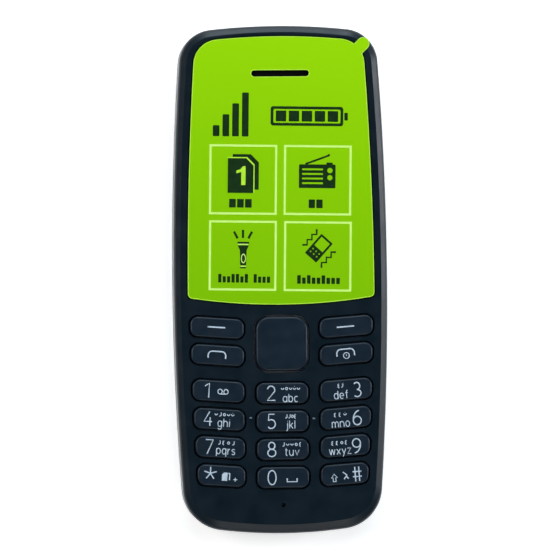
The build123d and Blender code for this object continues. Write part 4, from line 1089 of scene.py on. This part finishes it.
# Floor, world, lights and camera, in metres
FLOOR_SIDE = 4.0
FLOOR_LEVEL = -0.0001
FLOOR_GLOW = 0.5
ROOM_LOW_COLOUR, ROOM_HIGH_COLOUR = (0.28, 0.31, 0.34, 1), (0.01, 0.017, 0.025, 1)
ROOM_HIGH = 0.9
BACKDROP_LOW, BACKDROP_HIGH = 0.04, 0.18


def ray_kinds(owner):
    """Two sockets: 1 for camera rays, and 1 for glossy and transmission rays."""
    path = add_node(owner, "ShaderNodeLightPath").outputs
    mirrored = maths(owner, "MAXIMUM", path["Is Glossy Ray"], path["Is Transmission Ray"])
    return path["Is Camera Ray"], mirrored


def floor_paper():
    """White paper, lifted a little for the camera and in reflections."""
    material = new_material("floor_paper", roughness=0.9, specular=0.1)
    mottle(material, (246, 246, 246), (250, 250, 250), 60.0)
    seen = maths(material, "MAXIMUM", *ray_kinds(material))
    feed(material, maths(material, "MULTIPLY", seen, FLOOR_GLOW), "Emission Strength")
    shader = material.node_tree.nodes["Principled BSDF"]
    shader.inputs["Emission Color"].default_value = WHITE
    return material


def build_floor():
    """A square sheet just under the phone."""
    half = FLOOR_SIDE / 2
    corners = [(-half, -half, 0), (half, -half, 0), (half, half, 0), (-half, half, 0)]
    mesh = bpy.data.meshes.new("floor")
    mesh.from_pydata(corners, [], [(0, 1, 2, 3)])
    floor = bpy.data.objects.new("floor", mesh)
    floor.location.z = FLOOR_LEVEL
    bpy.context.scene.collection.objects.link(floor)
    mesh.materials.append(floor_paper())


def build_world():
    """A room that is darker overhead, with a white backdrop round it that the camera sees.

    Metal and glass mirror the backdrop near the horizon, and the room above it.
    """
    world = bpy.data.worlds.new("studio")
    bpy.context.scene.world = world
    world.use_nodes = True
    direction = add_node(world, "ShaderNodeTexCoord")
    height = separated(world, direction.outputs["Generated"])["Z"]
    room = add_node(world, "ShaderNodeValToRGB")
    low, high = room.color_ramp.elements
    low.position, low.color = 0.0, ROOM_LOW_COLOUR
    high.position, high.color = ROOM_HIGH, ROOM_HIGH_COLOUR
    join(world, height, room.inputs["Fac"])
    backdrop = remap(world, height, BACKDROP_LOW, BACKDROP_HIGH, 1.0, 0.0)
    seen, mirrored = ray_kinds(world)
    whiteness = maths(world, "MAXIMUM", seen, maths(world, "MULTIPLY", mirrored, backdrop))
    choose = add_node(world, "ShaderNodeMix", data_type="RGBA")
    join(world, whiteness, choose.inputs["Factor"])
    join(world, room.outputs["Color"], choose.inputs["A"])
    choose.inputs["B"].default_value = WHITE
    background = world.node_tree.nodes["Background"]
    join(world, choose.outputs["Result"], background.inputs["Color"])


def softbox(name, place, side_x, side_y, power, tint):
    """An area light that looks at the phone."""
    light = bpy.data.lights.new(name, "AREA")
    light.shape = "RECTANGLE"
    light.size, light.size_y = side_x, side_y
    light.energy = power
    light.color = tint
    lamp = bpy.data.objects.new(name, light)
    lamp.location = place
    lamp.rotation_mode = "QUATERNION"
    lamp.rotation_quaternion = Vector(place).to_track_quat("Z", "Y")
    bpy.context.scene.collection.objects.link(lamp)


def build_camera():
    """The camera, where the photograph was taken from: a little aside and leaning."""
    data = bpy.data.cameras.new("camera")
    data.sensor_width = SENSOR_WIDTH
    data.lens = SENSOR_WIDTH * CAMERA_DISTANCE / (IMAGE_SIDE / PIXELS_PER_MM * MM)
    data.clip_start, data.clip_end = CLIP_START, CLIP_END
    camera = bpy.data.objects.new("camera", data)
    bpy.context.scene.collection.objects.link(camera)
    aside, lean = math.radians(CAMERA_SIDE_DEGREES), math.radians(LEAN_DEGREES)
    backward = Vector((-math.sin(aside), 0, math.cos(aside)))
    upward = Vector((math.sin(lean), math.cos(lean), 0))
    rightward = upward.cross(backward).normalized()
    upward = backward.cross(rightward)
    shift_x = (IMAGE_SIDE / 2 - PHONE_CENTRE_PX[0] - FACE_SHIFT_PX) / PIXELS_PER_MM * MM
    shift_y = (IMAGE_SIDE / 2 - PHONE_CENTRE_PX[1]) / PIXELS_PER_MM * MM
    target = Vector((0, 0, film_low.z * MM)) + rightward * shift_x - upward * shift_y
    turn = Matrix((rightward, upward, backward)).transposed()
    camera.matrix_world = Matrix.Translation(target + backward * CAMERA_DISTANCE) @ turn.to_4x4()
    bpy.context.scene.camera = camera


build_floor()
build_world()
# Each light: its place, its sides, its power and its tint
softbox("top_light", (0.1, 0.82, 0.78), 1.1, 0.7, 6.2, (0.78, 0.91, 1.0))
softbox("low_light", (0.05, 1.05, 0.36), 0.6, 0.3, 2.7, (0.78, 0.91, 1.0))
softbox("right_light", (1.0, 0.1, 0.55), 0.35, 0.9, 6.0, (0.94, 0.97, 1.0))
softbox("left_light", (-0.75, 0.2, 1.0), 0.5, 0.6, 5.8, (1.0, 0.97, 0.93))
softbox("front_light", (0.15, -0.95, 0.9), 0.6, 0.4, 2.6, (1.0, 0.98, 0.95))
build_camera()
bpy.context.scene.view_settings.view_transform = "Standard"
